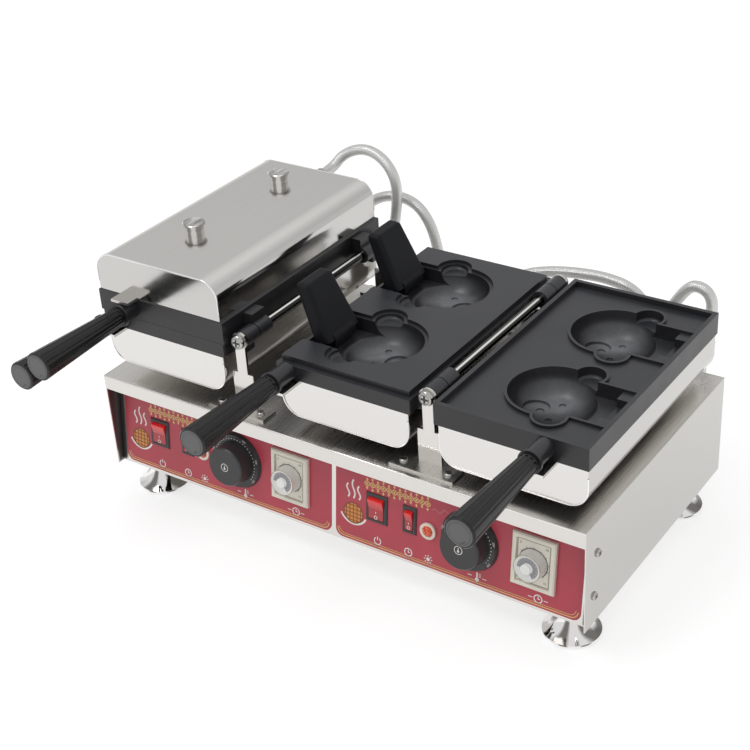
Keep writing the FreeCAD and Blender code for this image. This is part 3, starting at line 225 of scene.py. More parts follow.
# Conduits, each along the same corner points as its solid.
hoseSizes = {"radius": 0.0065, "exit": 0.022, "gland": 0.014, "trayInset": 0.0015, "footDrop": 0.062,
             "sides": 20, "steps": 10}
hoseStarts = {"a_upper": (-0.218, 0.054), "a_lower": (-0.213, -0.050), "b_upper": (0.019, -0.050),
              "b_lower": (0.214, -0.054)}
hoseFeet = {"a_upper": -0.150, "a_lower": -0.082, "b_upper": 0.194, "b_lower": 0.252}
hoseRoutes = {
    "a_upper": (
        (-0.209, 0.356, 0.149), (-0.180, 0.358, 0.161), (-0.150, 0.354, 0.155), (-0.131, 0.351, 0.132),
        (-0.131, 0.350, 0.101), (-0.139, 0.353, 0.068), (-0.146, 0.360, 0.036)),
    "a_lower": (
        (-0.208, 0.362, 0.050), (-0.197, 0.368, 0.074), (-0.173, 0.372, 0.093), (-0.145, 0.372, 0.101),
        (-0.117, 0.371, 0.096), (-0.098, 0.370, 0.075), (-0.088, 0.369, 0.044)),
    "b_upper": (
        (0.036, 0.356, 0.045), (0.070, 0.357, 0.056), (0.107, 0.354, 0.064), (0.143, 0.353, 0.067),
        (0.175, 0.355, 0.060), (0.192, 0.360, 0.036)),
    "b_lower": (
        (0.216, 0.361, 0.042), (0.236, 0.363, 0.074), (0.249, 0.363, 0.077), (0.260, 0.362, 0.072),
        (0.265, 0.362, 0.060), (0.263, 0.363, 0.040)),
}
hoseTail = [(0.366, 0.010), (0.372, -0.020), (0.370, -0.046)]
braidLook = {"along": 7.0, "around": 12.0, "dark": (0.42, 0.42, 0.41), "light": (0.80, 0.80, 0.79),
             "metal": 0.8, "weave": (-0.4, 1.0), "rough": (0.34, 0.2), "bump": 0.35, "bumpDeep": 0.0004}


def hosePoints(name):
    x, drop = hoseStarts[name]
    footX = hoseFeet[name]
    gland = hoseSizes["gland"]
    trayBack = panBack - hoseSizes["trayInset"]
    baseBack = base["front"] + base["depth"]
    start = Vector((x, trayBack + gland, base["top"] + line["rise"] + drop))
    end = Vector((footX, baseBack + gland, base["top"] - hoseSizes["footDrop"]))
    away = Vector((0, hoseSizes["exit"], 0))
    places = list(hoseRoutes[name]) + [(footX, b, c) for b, c in hoseTail]
    middle = [Vector((a, b + base["front"], c + base["top"])) for a, b, c in places]
    return [start, start + away] + middle + [end + away, end]


def smoothLine(name, points):
    curve = bpy.data.curves.new(name, "CURVE")
    curve.dimensions = "3D"
    curve.resolution_u = hoseSizes["steps"]
    spline = curve.splines.new("NURBS")
    spline.points.add(len(points) - 1)
    for point, place in zip(spline.points, points):
        point.co = (*place, 1.0)
    spline.order_u = 3
    spline.use_endpoint_u = True
    return curveMesh(curve)[0]


def hoseMaterial():
    # two sets of strands wound in opposite ways
    paint = Paint("braidedConduit")
    along, around = paint.split(paint.stretched(kind="UV"))[:2]
    along, around = along * braidLook["along"], around * braidLook["around"]
    left = ((along + around) * math.tau).maths("SINE")
    right = ((along - around) * math.tau).maths("SINE")
    weave = left.maths("MAXIMUM", right)
    tone = paint.between(weave, *braidLook["weave"])
    colour = paint.blend(tone, braidLook["dark"], braidLook["light"])
    return paint.finish(Base_Color=colour, Metallic=braidLook["metal"],
                        Roughness=paint.between(tone, 0, 1, *braidLook["rough"]),
                        Normal=paint.bump(weave, braidLook["bump"], braidLook["bumpDeep"]))


def makeHose(name, material):
    route = hosePoints(name)
    path = smoothLine("route_" + name, route)
    sides, radius = hoseSizes["sides"], hoseSizes["radius"]
    points, reach = [], [0.0]
    normal = Vector((0, 0, 1))
    for i, place in enumerate(path):
        tangent = (path[min(i + 1, len(path) - 1)] - path[max(i - 1, 0)]).normalized()
        normal = (normal - tangent * normal.dot(tangent)).normalized()
        points += circlePoints(place, normal, tangent.cross(normal), radius, sides)
        if i:
            reach.append(reach[-1] + (place - path[i - 1]).length)
    faces = tubeFaces(len(path), sides)
    tube = makePiece("conduit_" + name, points, faces, material, "base", "conduit", True)
    layer = tube.data.uv_layers.new(name="UVMap")
    for face in tube.data.polygons:
        row, k = divmod(face.index, sides)
        corners = ((row, k), (row, k + 1), (row + 1, k + 1), (row + 1, k))
        for loop, (i, column) in zip(face.loop_indices, corners):
            layer.data[loop].uv = (reach[i] / (2 * radius), column / sides)
    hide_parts("hose_" + name)
    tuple(route[0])


braid = hoseMaterial()
for hoseName in hoseRoutes:
    makeHose(hoseName, braid)
print("conduits laid")


# Values that all brushed steels share, and pairs between which a mask rises from 0 to 1.
# the last two values are the colour and the added roughness of the painted shade on the panel recess's
# returns
brushed = {"turned": (0.5, 0.8), "flat": (0.8, 0.95), "streaks": (0.3, 0.7), "grain": (5.0, 0.7),
           "clouds": (7, 7, 7), "topCalm": 0.85, "returnShade": (0.13, 0.125, 0.12), "returnShadeRough": 0.25}
returnEdges = {"across": (0.2930, 0.2938), "inside": (0.1, 0.0), "back": (0.0010, 0.0018),
               "ahead": (0.040, 0.030), "low": (0.001, 0.003), "high": (-0.0015, -0.0025)}


def steelMaterial(name, values):
    # brushed sheet: the grain runs along each face, whichever way the face looks, and faces looking along X
    # and along Y get painted shade
    paint = Paint(name)
    fine, long = values["fine"], values["long"]
    lookX, lookY, lookZ = paint.facing()
    endFace = paint.between(lookY, *brushed["turned"])
    sideShadeMask = paint.between(lookX, *brushed["turned"])
    topFace = paint.between(lookZ, *brushed["flat"])
    main = paint.grain((fine, long, fine), *brushed["grain"])
    ends = paint.grain((long, fine, fine), *brushed["grain"])
    streaks = main + (ends - main) * endFace
    cloud = paint.grain(brushed["clouds"])
    tint = values["tint"]
    colour = paint.blend(paint.between(streaks, *brushed["streaks"]), shaded(tint, values["dark"]), tint)
    # painted shade: faces looking along X are darkened by the side value, faces looking along Y by the end
    # value
    colour = paint.blend(sideShadeMask, colour, shaded(tint, values["side"]))
    colour = paint.blend(endFace, colour, shaded(tint, values["end"]))
    # painted shade on the panel recess's returns
    returnShade = paintedReturnShade(paint)
    colour = paint.blend(returnShade, colour, brushed["returnShade"])
    spread = values["spread"]
    rough = paint.between(streaks, *brushed["streaks"], values["rough"] - spread, values["rough"] + spread)
    rough = rough + (cloud - 0.5) * values["cloud"] + topFace * values["topRough"]
    rough = rough + returnShade * brushed["returnShadeRough"]
    grain = streaks * (1.0 - topFace * brushed["topCalm"])
    return paint.finish(Base_Color=colour, Metallic=1.0, Roughness=rough,
                        Normal=paint.bump(grain, values["bump"]))


def paintedReturnShade(paint):
    # painted shade: the returns at both ends of the panel's recess are painted dark and made rougher
    x, y, z = paint.place()
    atEnd = paint.between(x.maths("ABSOLUTE"), *returnEdges["across"])
    inside = paint.between(x * paint.look()[0], *returnEdges["inside"])
    back = paint.between(y, *shifted(returnEdges["back"], base["front"]))
    ahead = paint.between(y, *shifted(returnEdges["ahead"], base["front"]))
    low = paint.between(z, *shifted(returnEdges["low"], base["foot"]))
    high = paint.between(z, *shifted(returnEdges["high"], base["top"]))
    return atEnd * inside * back * ahead * (low * high)


# Among these, the side and bowl-wall colours are painted shade, and the bright bowl colour with its span,
# shifts, streaks and roughness is a painted highlight.
mould = {"rows": 0.0635, "rowHalf": 0.066, "out": 0.100, "radius": 0.045, "dish": 15.0,
         "plane": (0.034, 0.035, 0.040), "patch": (0.024, 0.025, 0.029), "side": (0.016, 0.016, 0.018),
         "hollow": (0.011, 0.011, 0.013), "highlightColour": (0.165, 0.169, 0.180), "speckle": 1100.0,
         "smear": (16.0, 4.0, 0.6), "smeared": (0.35, 0.65), "level": (0.3, 0.9), "highlightStreaks": (60, 60, 30),
         "highlightStreak": (5.0, 0.65), "highlightStreaked": (0.3, 0.7, 0.55, 1.0), "highlightSpan": (0.040, 0.013),
         "highlightShift": (0.0, 0.006), "highlightShiftLower": (-0.005, 0.015), "lowerFrom": (0.15, 0.16),
         "bowlEdge": (0.001, -0.002), "pitted": 0.16, "rough": (0.30, 0.40), "highlightRough": 0.06}


def bowlDistance(paint, shiftX=0.0, shiftY=0.0):
    # distance from the middle of the nearest bowl, seen from above
    x, y = paint.place()[:2]
    right = ((x - line["right"] - shiftX).maths("ABSOLUTE") - mould["out"]).maths("ABSOLUTE")
    left = (x - (line["left"] - mould["out"])).maths("ABSOLUTE")
    row = ((y - (mould["rows"] + shiftY)).maths("ABSOLUTE") - mould["rowHalf"]).maths("ABSOLUTE")
    nearest = right.maths("MINIMUM", left)
    return (nearest * nearest + row * row).maths("SQRT")


def castingMaterial():
    # non-stick coat: slate on the flats, with painted shade on the sides and bowl walls and a painted
    # highlight low in the bowls
    paint = Paint("nonStickCasting")
    coords = paint.stretched()
    speckle = paint.noise(coords, mould["speckle"])
    smear = paint.between(paint.noise(coords, *mould["smear"]), *mould["smeared"])
    away = bowlDistance(paint)
    inBowl = paint.between(away, *shifted(mould["bowlEdge"], mould["radius"]))
    level = paint.between(paint.facing()[2], *mould["level"])
    flat = paint.blend(smear, mould["patch"], mould["plane"])
    # painted shade: faces that do not look up get the darker side colour
    outside = paint.blend(level, mould["side"], flat)
    highlightStreaks = paint.grain(mould["highlightStreaks"], *mould["highlightStreak"])
    lowerPan = paint.between(paint.split(coords)[0], *mould["lowerFrom"])
    # painted highlight low in each bowl, set further back in the lower pan of station B and broken up by
    # streaky noise
    near, far = bowlDistance(paint, *mould["highlightShift"]), bowlDistance(paint, *mould["highlightShiftLower"])
    bowlHighlight = paint.between(near + (far - near) * lowerPan, *mould["highlightSpan"])
    bowlHighlight = bowlHighlight * paint.between(highlightStreaks, *mould["highlightStreaked"])
    # painted shade on the bowl walls, painted highlight towards the middle
    inside = paint.blend(bowlHighlight, mould["hollow"], mould["highlightColour"])
    colour = paint.blend(inBowl, outside, inside)
    clamped = away.maths("MINIMUM", mould["radius"])
    square = clamped * clamped
    dish = (square - square * square * (0.5 / mould["radius"] ** 2)) * mould["dish"]
    pitted = paint.bump(speckle, mould["pitted"], Normal=paint.bump(dish, 1.0, 1.0))
    rough = paint.between(smear, 0, 1, *mould["rough"]) - bowlHighlight * mould["highlightRough"]
    return paint.finish(Base_Color=colour, Metallic=0.0, Roughness=rough, Normal=pitted)


plain = {"fine": 300.0, "broad": 25.0, "mottled": (0.3, 0.7), "dark": 0.9, "smooth": 0.85, "coarse": 1.15}


def plainMaterial(name, colour, rough, metallic=0.0, bump=0.05, **more):
    # one colour, faintly mottled and not evenly smooth
    paint = Paint(name)
    coords = paint.stretched()
    fine = paint.noise(coords, plain["fine"])
    broad = paint.noise(coords, plain["broad"])
    shade = paint.blend(paint.between(broad, *plain["mottled"]), shaded(colour, plain["dark"]), colour)
    uneven = paint.between(broad, *plain["mottled"], rough * plain["smooth"], rough * plain["coarse"])
    return paint.finish(Base_Color=shade, Metallic=metallic, Roughness=uneven,
                        Normal=paint.bump(fine, bump), **more)


def paintedReflectionBands(paint, across, deep):
    # painted reflection: smooth light and dark bands round a turned shape, set by the way the surface looks
    lookX, lookY = paint.look()[:2]
    return (lookX * across + lookY * deep).maths("SINE")


# In each of these, "tones" holds the colours of the low and the high end of the pattern.
lathe = {"tones": ((0.34, 0.33, 0.31), (0.90, 0.89, 0.87)), "bands": (2, 2, 520), "fan": (130, 40, 1),
         "fanned": (3.0, 0.6), "cap": (0.9, 0.97), "around": (6.0, 2.0),
         "shone": (-0.7, 0.7, 0.25, 0.75), "paintedSheen": 0.65, "tone": (0.38, 0.62), "rough": (0.26, 0.14),
         "bump": 0.05}


def turnedMaterial():
    # lathe marks: fine bands up the sides, broad facets fanning out on the caps, with painted reflection
    # bands round the sides
    paint = Paint("turnedAluminium")
    bands = paint.grain(lathe["bands"])
    fan = paint.grain(lathe["fan"], *lathe["fanned"])
    cap = paint.between(paint.facing()[2], *lathe["cap"])
    # painted reflection in bands round the knob
    paintedSheen = paint.between(paintedReflectionBands(paint, *lathe["around"]), *lathe["shone"])
    body = bands * (1 - lathe["paintedSheen"]) + paintedSheen * lathe["paintedSheen"]
    pattern = body + (fan - body) * cap
    tone = paint.between(pattern, *lathe["tone"])
    return paint.finish(Base_Color=paint.blend(tone, *lathe["tones"]), Metallic=1.0,
                        Roughness=paint.between(tone, 0, 1, *lathe["rough"]),
                        Normal=paint.bump(pattern, lathe["bump"]))


rod = {"tones": ((0.035, 0.035, 0.034), (0.88, 0.87, 0.84)), "towards": (0.34, 0.94), "highlightLine": (0.955, 0.985),
       "smudge": (30, 9, 30), "smudged": (0.35, 0.6, 0.75, 1.0), "rough": (0.16, 0.22), "bump": 0.02}


def rodMaterial():
    # painted dark all over as painted reflection of the dark castings round it, with a painted highlight
    # along the top
    paint = Paint("hingeRod")
    look = paint.look()
    # painted highlight: a bright line where the rod looks up and a little to the side
    highlightLine = paint.between(look[2] * rod["towards"][1] + look[0] * rod["towards"][0], *rod["highlightLine"])
    smudge = paint.between(paint.grain(rod["smudge"]), *rod["smudged"])
    return paint.finish(Base_Color=paint.blend(highlightLine * smudge, *rod["tones"]), Metallic=1.0,
                        Roughness=paint.between(highlightLine, 0, 1, *rod["rough"]),
                        Normal=paint.bump(smudge, rod["bump"]))


plating = {"tones": ((0.20, 0.19, 0.18), (0.86, 0.85, 0.84)), "around": (8.0, 3.0), "bands": (-0.75, 0.1),
           "rough": (0.14, 0.07), "bump": 0.02}


def footMaterial():
    # bright spun plating, with a painted reflection in bands round it
    paint = Paint("footPlating")
    bands = paint.between(paintedReflectionBands(paint, *plating["around"]), *plating["bands"])
    return paint.finish(Base_Color=paint.blend(bands, *plating["tones"]), Metallic=1.0,
                        Roughness=paint.between(bands, 0, 1, *plating["rough"]),
                        Normal=paint.bump(bands, plating["bump"]))


lens = {"tones": ((0.86, 0.20, 0.07), (0.42, 0.02, 0.01)), "domes": 420.0, "dome": (0.0, 0.7),
        "rough": 0.12, "glow": 0.20, "bump": 0.6, "bumpDeep": 0.0008}


def lensMaterial():
    # moulded in small domes, lit from behind
    paint = Paint("lampLens")
    inputs = {"Vector": paint.stretched(), "Scale": lens["domes"]}
    cells = paint.add("ShaderNodeTexVoronoi", {}, inputs)[0]
    colour = paint.blend(paint.between(cells, *lens["dome"]), *lens["tones"])
    return paint.finish(Base_Color=colour, Roughness=lens["rough"], Emission_Color=colour,
                        Emission_Strength=lens["glow"],
                        Normal=paint.bump(cells, lens["bump"], lens["bumpDeep"]))


rocker = {"tones": ((0.36, 0.012, 0.022), (0.86, 0.018, 0.016)), "lit": (0.088, 0.105), "rough": 0.14,
          "coat": 0.4, "glow": 0.12}


def rockerMaterial():
    # a red translucent moulding, painted lighter towards its top edge as painted light, and glowing faintly
    paint = Paint("rockerRed")
    colour = paint.blend(paint.between(paint.place()[2], *rocker["lit"]), *rocker["tones"])
    return paint.finish(Base_Color=colour, Roughness=rocker["rough"], Coat_Weight=rocker["coat"],
                        Emission_Color=colour, Emission_Strength=rocker["glow"])


# the side and end values are painted shade on faces looking along X and along Y
steels = {
    "base": {"fine": 800, "long": 6, "tint": (0.71, 0.69, 0.66), "dark": 0.95, "side": 0.76, "end": 0.98,
             "rough": 0.12, "topRough": 0.16, "spread": 0.02, "cloud": 0.05, "bump": 0.008},
    "casing": {"fine": 700, "long": 5, "tint": (0.75, 0.735, 0.71), "dark": 0.96, "side": 0.76, "end": 0.97,
               "rough": 0.13, "topRough": 0.01, "spread": 0.04, "cloud": 0.06, "bump": 0.02},
}
# the lid's front gets deeper painted shade
steels["lid"] = {**steels["casing"], "tint": (0.76, 0.745, 0.72), "end": 0.74}
printColours = {"white": (0.84, 0.80, 0.76), "gold": (0.78, 0.52, 0.20), "orange": (0.66, 0.26, 0.055),
                "brown": (0.22, 0.06, 0.02), "pink": (0.50, 0.14, 0.16)}
finishes = {
    "foot": footMaterial(),
    "screws": plainMaterial("screwChrome", (0.50, 0.49, 0.47), 0.16, 1.0),
    "rod": rodMaterial(),
    "core": plainMaterial("coreCoat", (0.009, 0.0095, 0.012), 0.42, bump=0.1, Specular_IOR_Level=0.13),
    # a bright finish for the painted highlight beads on bent edges
    "edgeHighlight": plainMaterial("edgeHighlightBead", (0.93, 0.92, 0.90), 0.16, 1.0, bump=0.02),
    "casting": castingMaterial(),
    "overlay": plainMaterial("crimsonFilm", (0.47, 0.050, 0.076), 0.34, bump=0.02),
    "rubber": plainMaterial("padRubber", (0.03, 0.03, 0.03), 0.75),
    "black": plainMaterial("blackMoulding", (0.032, 0.032, 0.034), 0.38, bump=0.08),
    "grip": plainMaterial("gripMoulding", (0.007, 0.007, 0.008), 0.28, bump=0.02, Specular_IOR_Level=0.4),
    "gripEnd": plainMaterial("gripEndMoulding", (0.120, 0.121, 0.124), 0.5, bump=0.1),
    "ring": plainMaterial("lampRing", (0.78, 0.72, 0.62), 0.35),
    "lens": lensMaterial(),
    "bezel": plainMaterial("timerBezel", (0.82, 0.78, 0.68), 0.5, bump=0.1),
    "bezelShade": plainMaterial("timerPaintedShade", (0.36, 0.33, 0.26), 0.55),
    "scale": plainMaterial("timerScale", (0.27, 0.27, 0.29), 0.5),
    "knob": turnedMaterial(),
    "cap": plainMaterial("knobCap", (0.88, 0.88, 0.87), 0.45),
    "rocker": rockerMaterial(),
    "clear": plainMaterial("clearKnob", (0.74, 0.74, 0.71), 0.12, bump=0.0, Coat_Weight=0.8),
    "inner": plainMaterial("innerMetal", (0.45, 0.44, 0.42), 0.4, 1.0),
    "strip": plainMaterial("stripPlastic", (0.75, 0.73, 0.68), 0.5),
    # the dark finish serves the timer's printed figures and, as painted shade, the screw recesses and the
    # knob's shadow
    "dark": plainMaterial("darkPrintAndShade", (0.03, 0.03, 0.03), 0.6, bump=0.0),
}
for word, values in steels.items():
    finishes[word] = steelMaterial(word + "Steel", values)
for word, colour in printColours.items():
    finishes[word] = plainMaterial(word + "Print", colour, 0.4, bump=0.0)
wear = {"base_housing": "base", "control_panel": "base", "rear_panel": "base", "bottom_plate": "base",
        "overlay_left": "overlay", "overlay_right": "overlay", "feet": "foot", "foot_pads": "rubber",
        "brackets_a": "base", "brackets_b": "base", "hinge_rods": "rod", "rod_screws": "screws",
        "bracket_screws": "screws", "side_screws": "screws", "switch_housings": "black", "lamp_rings": "ring",
        "lamp_lenses": "lens", "thermostats": "inner", "timers": "bezel", "base_glands": "inner",
        "terminal_strip": "strip", "cover_knobs": "knob", "a_upper_casing": "lid"}
endings = {"_casting": "casting", "_casing": "casing", "_heater": "inner", "_gland": "inner", "_grip": "grip"}
beginnings = {"core_": "core", "power_rocker": "rocker", "timer_rocker": "rocker", "thermostat_knob": "black",
              "timer_knob": "clear"}


def kindsOf(node):
    if node in wear:
        return [wear[node]]
    kinds = [kind for ending, kind in endings.items() if node.endswith(ending)]
    return kinds + [kind for beginning, kind in beginnings.items() if node.startswith(beginning)]


for node, piece in nodes.items():
    for kind in kindsOf(node):
        piece.data.materials.clear()
        piece.data.materials.append(finishes[kind])
print("solids finished")


# Flat shapes are lists of closed outlines in two directions, which a Face lays on the object.
def polar(radius, degrees, x=0.0, y=0.0):
    angle = math.radians(degrees)
    return x + radius * math.cos(angle), y + radius * math.sin(angle)


def disc(x, y, radius, sides=32):
    return [[polar(radius, 360 * i / sides, x, y) for i in range(sides)]]


def arcPoints(x, y, radius, low, high, steps=24):
    return [polar(radius, low + (high - low) * i / steps, x, y) for i in range(steps + 1)]


def stroke(points, width, closed=False):
    run = [Vector(point) for point in points]
    count = len(run)
    left, right = [], []
    for i, point in enumerate(run):
        before = run[(i - 1) % count] if closed or i else point
        after = run[(i + 1) % count] if closed or i < count - 1 else point
        first = (point - before).normalized() if point != before else (after - point).normalized()
        second = (after - point).normalized() if after != point else first
        mean = (first + second).normalized()
        across = Vector((-mean.y, mean.x)) * (width / 2 / max(0.5, mean.dot(first)))
        left.append(point + across)
        right.append(point - across)
    spans = count if closed else count - 1
    return [[tuple(right[i]), tuple(right[(i + 1) % count]), tuple(left[(i + 1) % count]), tuple(left[i])]
            for i in range(spans)]


def ring(x, y, radius, width):
    return stroke(arcPoints(x, y, radius, 0, 360, 40)[:-1], width, True)


def frameLine(left, low, right, high, corner, width):
    points = []
    for x, y, angle in ((right - corner, low + corner, -90), (right - corner, high - corner, 0),
                        (left + corner, high - corner, 90), (left + corner, low + corner, 180)):
        points += arcPoints(x, y, corner, angle, angle + 90, 6)
    return stroke(points, width, True)


def moved(shapes, x, y, scale=1.0, angle=0.0):
    c, d = math.cos(math.radians(angle)) * scale, math.sin(math.radians(angle)) * scale
    return [[(x + a * c - b * d, y + a * d + b * c) for a, b in shape] for shape in shapes]


def lettering(text, height):
    # outlines of plain figures, centred on the origin
    curve = bpy.data.curves.new("figures", "FONT")
    curve.body = text
    curve.size = height
    curve.align_x, curve.align_y = "CENTER", "CENTER"
    points, faces = curveMesh(curve)
    return [[tuple(points[i][:2]) for i in face] for face in faces]


# How far each kind of print stands off its surface.
lifts = {"print": 0.00012, "over": 0.0002, "cap": 0.0001, "rocker": 0.00015, "recess": 0.00006,
         "grip": 0.0008}


class Face:
    def __init__(self, origin, across, up, body):
        self.origin, self.across, self.up = Vector(origin), Vector(across), Vector(up)
        self.out = self.across.cross(self.up)
        self.body = body

    def at(self, x, y, out):
        return self.origin + self.across * x + self.up * y + self.out * out

    def lay(self, name, shapes, finish, slot, lift="print"):
        points, faces = [], []
        for shape in shapes:
            faces.append(tuple(range(len(points), len(points) + len(shape))))
            points += [self.at(x, y, lifts[lift]) for x, y in shape]
        makePiece(name, points, faces, finishes[finish], self.body, slot)


panel = {"lean": 7.07, "topSetBack": 0.0223, "centre": 0.147}
lean = math.radians(panel["lean"])
panelFoot = Vector((0, base["front"] + panel["topSetBack"] - base["box"] * math.tan(lean), base["foot"]))
panelUp = Vector((0, math.sin(lean), math.cos(lean)))
panelOut = Vector((0, -math.cos(lean), math.sin(lean)))
section = {"half": 0.144, "low": 0.004, "high": 0.108, "film": 0.0006, "inset": 0.0026, "corner": 0.008,
           "power": -0.092, "switch": -0.052, "lamp": -0.0295, "dial": 0.0187, "dialHigh": 0.052,
           "timer": 0.0917, "timerHigh": 0.054}


def panelFace(side, x, y, out, body):
    # a place on one half of the leaning panel, measured from that half's lower middle
    origin = panelFoot + Vector((side * panel["centre"] + x, 0, 0)) + panelUp * y + panelOut * out
    return Face(origin, (1, 0, 0), panelUp, body)


def wave(left, right, middle, swing, waves, steps=64):
    span = right - left
    return [(left + span * i / steps, middle + swing * math.sin(math.tau * waves * i / steps))
            for i in range(steps + 1)]


band = {"left": -0.108, "right": -0.028, "low": 0.0705, "high": 0.0840, "waves": 6, "swing": 0.42,
        "line": 0.0011, "bead": 0.0013, "near": 0.72, "far": 0.9, "lozenge": (0.0015, 0.0022)}


def flourish():
    # band of waves with beads and lozenges between them
    left, right = band["left"], band["right"]
    middle, half = (band["low"] + band["high"]) / 2, (band["high"] - band["low"]) / 2
    shapes = []
    for swing in (half * band["swing"], -half * band["swing"]):
        shapes += stroke(wave(left, right, middle, swing, band["waves"]), band["line"])
    count = 2 * band["waves"]
    wide, tall = band["lozenge"]
    for i in range(count):
        x = left + (right - left) / count * (i + 0.5)
        shapes += disc(x, middle, band["bead"], 14)
        reach = half * (band["far"] if i % 2 else band["near"])
        for y in (middle - reach, middle + reach):
            shapes.append([(x - wide, y), (x, y - tall), (x + wide, y), (x, y + tall)])
    return shapes


cake = {"place": (-0.1215, 0.037), "radius": 0.0125, "rim": 0.0012, "bars": (-2, -1, 0, 1, 2), "pitch": 0.36,
        "reach": 0.94, "bar": 0.0009, "wisps": ((-1, 0.016), (0, 0.022), (1, 0.016)), "wispApart": 0.0068,
        "wispSwing": 0.0017, "wispRise": 0.005, "wisp": 0.0019, "plateRise": 0.004, "plateOut": 0.0045,
        "plateArc": (205, 335), "plate": 0.0022}


def waffle():
    # round waffle seen flat: rim, lattice and the wisps of steam over it
    x, y = cake["place"]
    radius, bar = cake["radius"], cake["bar"]
    grid = ring(x, y, radius - cake["rim"] / 2, cake["rim"])
    for i in cake["bars"]:
        off = i * radius * cake["pitch"]
        reach = math.sqrt((radius * cake["reach"]) ** 2 - off ** 2)
        grid += stroke([(x + off, y - reach), (x + off, y + reach)], bar)
        grid += stroke([(x - reach, y + off), (x + reach, y + off)], bar)
    steam = []
    for i, tall in cake["wisps"]:
        swings = [cake["wispSwing"] * math.sin(math.tau * k / 12) for k in range(13)]
        points = [(x + i * cake["wispApart"] + swing, y + radius + cake["wispRise"] + tall * k / 12)
                  for k, swing in enumerate(swings)]
        steam += stroke(points, cake["wisp"])
    edge = arcPoints(x, y + cake["plateRise"], radius + cake["plateOut"], *cake["plateArc"])
    return disc(x, y, radius), grid, steam + stroke(edge, cake["plate"])


# The pictograms under the controls, before their row's scale.
icons = {"line": 0.0009, "hand": 0.0008, "power": 0.0032, "powerArc": (120, 420),
         "powerBar": ((0, 0.0008), (0, 0.0042)), "clock": 0.0035, "hands": ((0, 0.0024), (0, 0), (0.0019, 0)),
         "lamp": 0.0017, "ray": ((0.0026, 0), (0.0043, 0)), "rays": 8, "bulb": 0.0019, "bulbLow": -0.0026,
         "stem": ((0, -0.001), (0, 0.0042)), "stemWide": 0.0014, "ticks": (0.0004, 0.0018, 0.0032),
         "tick": (0.0018, 0.0034), "tickWide": 0.0006}


def powerMark():
    arc = stroke(arcPoints(0, 0, icons["power"], *icons["powerArc"]), icons["line"])
    return arc + stroke(icons["powerBar"], icons["line"])


def clockMark():
    return ring(0, 0, icons["clock"], icons["line"]) + stroke(icons["hands"], icons["hand"])


def lampMark():
    shapes = disc(0, 0, icons["lamp"], 20)
    for i in range(icons["rays"]):
        shapes += moved(stroke(icons["ray"], icons["hand"]), 0, 0, 1.0, 360 / icons["rays"] * i)
    return shapes


def heatMark():
    shapes = disc(0, icons["bulbLow"], icons["bulb"], 20) + stroke(icons["stem"], icons["stemWide"])
    for y in icons["ticks"]:
        shapes += stroke([(x, y) for x in icons["tick"]], icons["tickWide"])
    return shapes


# Per pictogram: the control it stands under, how far aside, and its scale.
labelRows = ((powerMark, "power", 0.001, 1.25), (clockMark, "switch", -0.001, 1.25),
             (clockMark, "timer", 0.006, 1.25), (lampMark, "lamp", 0.0005, 1.2),
             (heatMark, "dial", 0.010, 1.25))
labelSizes = {"high": 0.0135, "underline": (-0.004, 0.005), "underDrop": 0.0068, "under": 0.0007,
              "dash": (0.0062, 0.011), "dashes": {"timer": 0.006, "dial": 0.010}, "dashWide": 0.0009}
goldFrame = {"over": 0.02, "outer": 0.0011, "apart": 0.0024, "inner": 0.0006, "cornerLess": 0.001}
swirlSizes = {"half": 0.012, "swing": 0.0022, "waves": 2, "line": 0.0014, "aside": 0.038, "high": 0.074,
              "turn": 12}


def goldLines():
    # a double line along the film's edges, open at the top
    half, low, high, inset = section["half"], section["low"], section["high"], section["inset"]
    lines = []
    for more, less, width in ((0, 0, goldFrame["outer"]),
                              (goldFrame["apart"], goldFrame["cornerLess"], goldFrame["inner"])):
        aside = half - inset - more
        lines += frameLine(-aside, low + inset + more, aside, high + goldFrame["over"],
                           section["corner"] - less, width)
    return [shape for shape in lines if max(point[1] for point in shape) < high]


def labelShapes():
    y = labelSizes["high"]
    shapes = []
    for mark, control, aside, scale in labelRows:
        shapes += moved(mark(), section[control] + aside, y, scale)
    low = y - labelSizes["underDrop"]
    start, end = labelSizes["underline"]
    for control in ("power", "switch", "lamp"):
        x = section[control]
        shapes += stroke([(x + start, low), (x + end, low)], labelSizes["under"])
    near, far = labelSizes["dash"]
    for control, aside in labelSizes["dashes"].items():
        x = section[control] + aside
        for first, last in ((x - far, x - near), (x + near, x + far)):
            shapes += stroke([(first, y), (last, y)], labelSizes["dashWide"])
    return shapes


def printPanel(word, side):
    face = panelFace(side, 0, 0, section["film"], "base")
    face.lay("goldPrint_" + word, goldLines() + flourish(), "gold", "overlay")
    body, grid, steam = waffle()
    face.lay("wafflePrint_" + word, body, "orange", "overlay")
    face.lay("waffleLattice_" + word, grid, "brown", "overlay", "over")
    face.lay("steamPrint_" + word, steam, "white", "overlay")
    half = swirlSizes["half"]
    swirl = stroke(wave(-half, half, 0, swirlSizes["swing"], swirlSizes["waves"], 32), swirlSizes["line"])
    swirl = moved(swirl, section["switch"] + swirlSizes["aside"], swirlSizes["high"], 1.0, swirlSizes["turn"])
    face.lay("pinkPrint_" + word, swirl, "pink", "overlay")
    face.lay("labelPrint_" + word, labelShapes(), "white", "overlay")


for word, side in halves:
    printPanel(word, side)
print("panels printed")


dial = {"skirtThick": 0.004, "proud": 0.022, "gap": 0.0004, "from": 215, "sweep": 250, "dots": 0.0268,
        "dotSize": 0.00062, "dotCount": 30, "figures": 0.0302, "figureTall": 0.0034, "figureCount": 6,
        "figureStep": 50, "icon": 0.0044, "iconLine": 0.0007, "bulb": 0.0013, "bulbLow": -0.0012,
        "stem": ((0, 0), (0, 0.0026)), "stemWide": 0.0009}


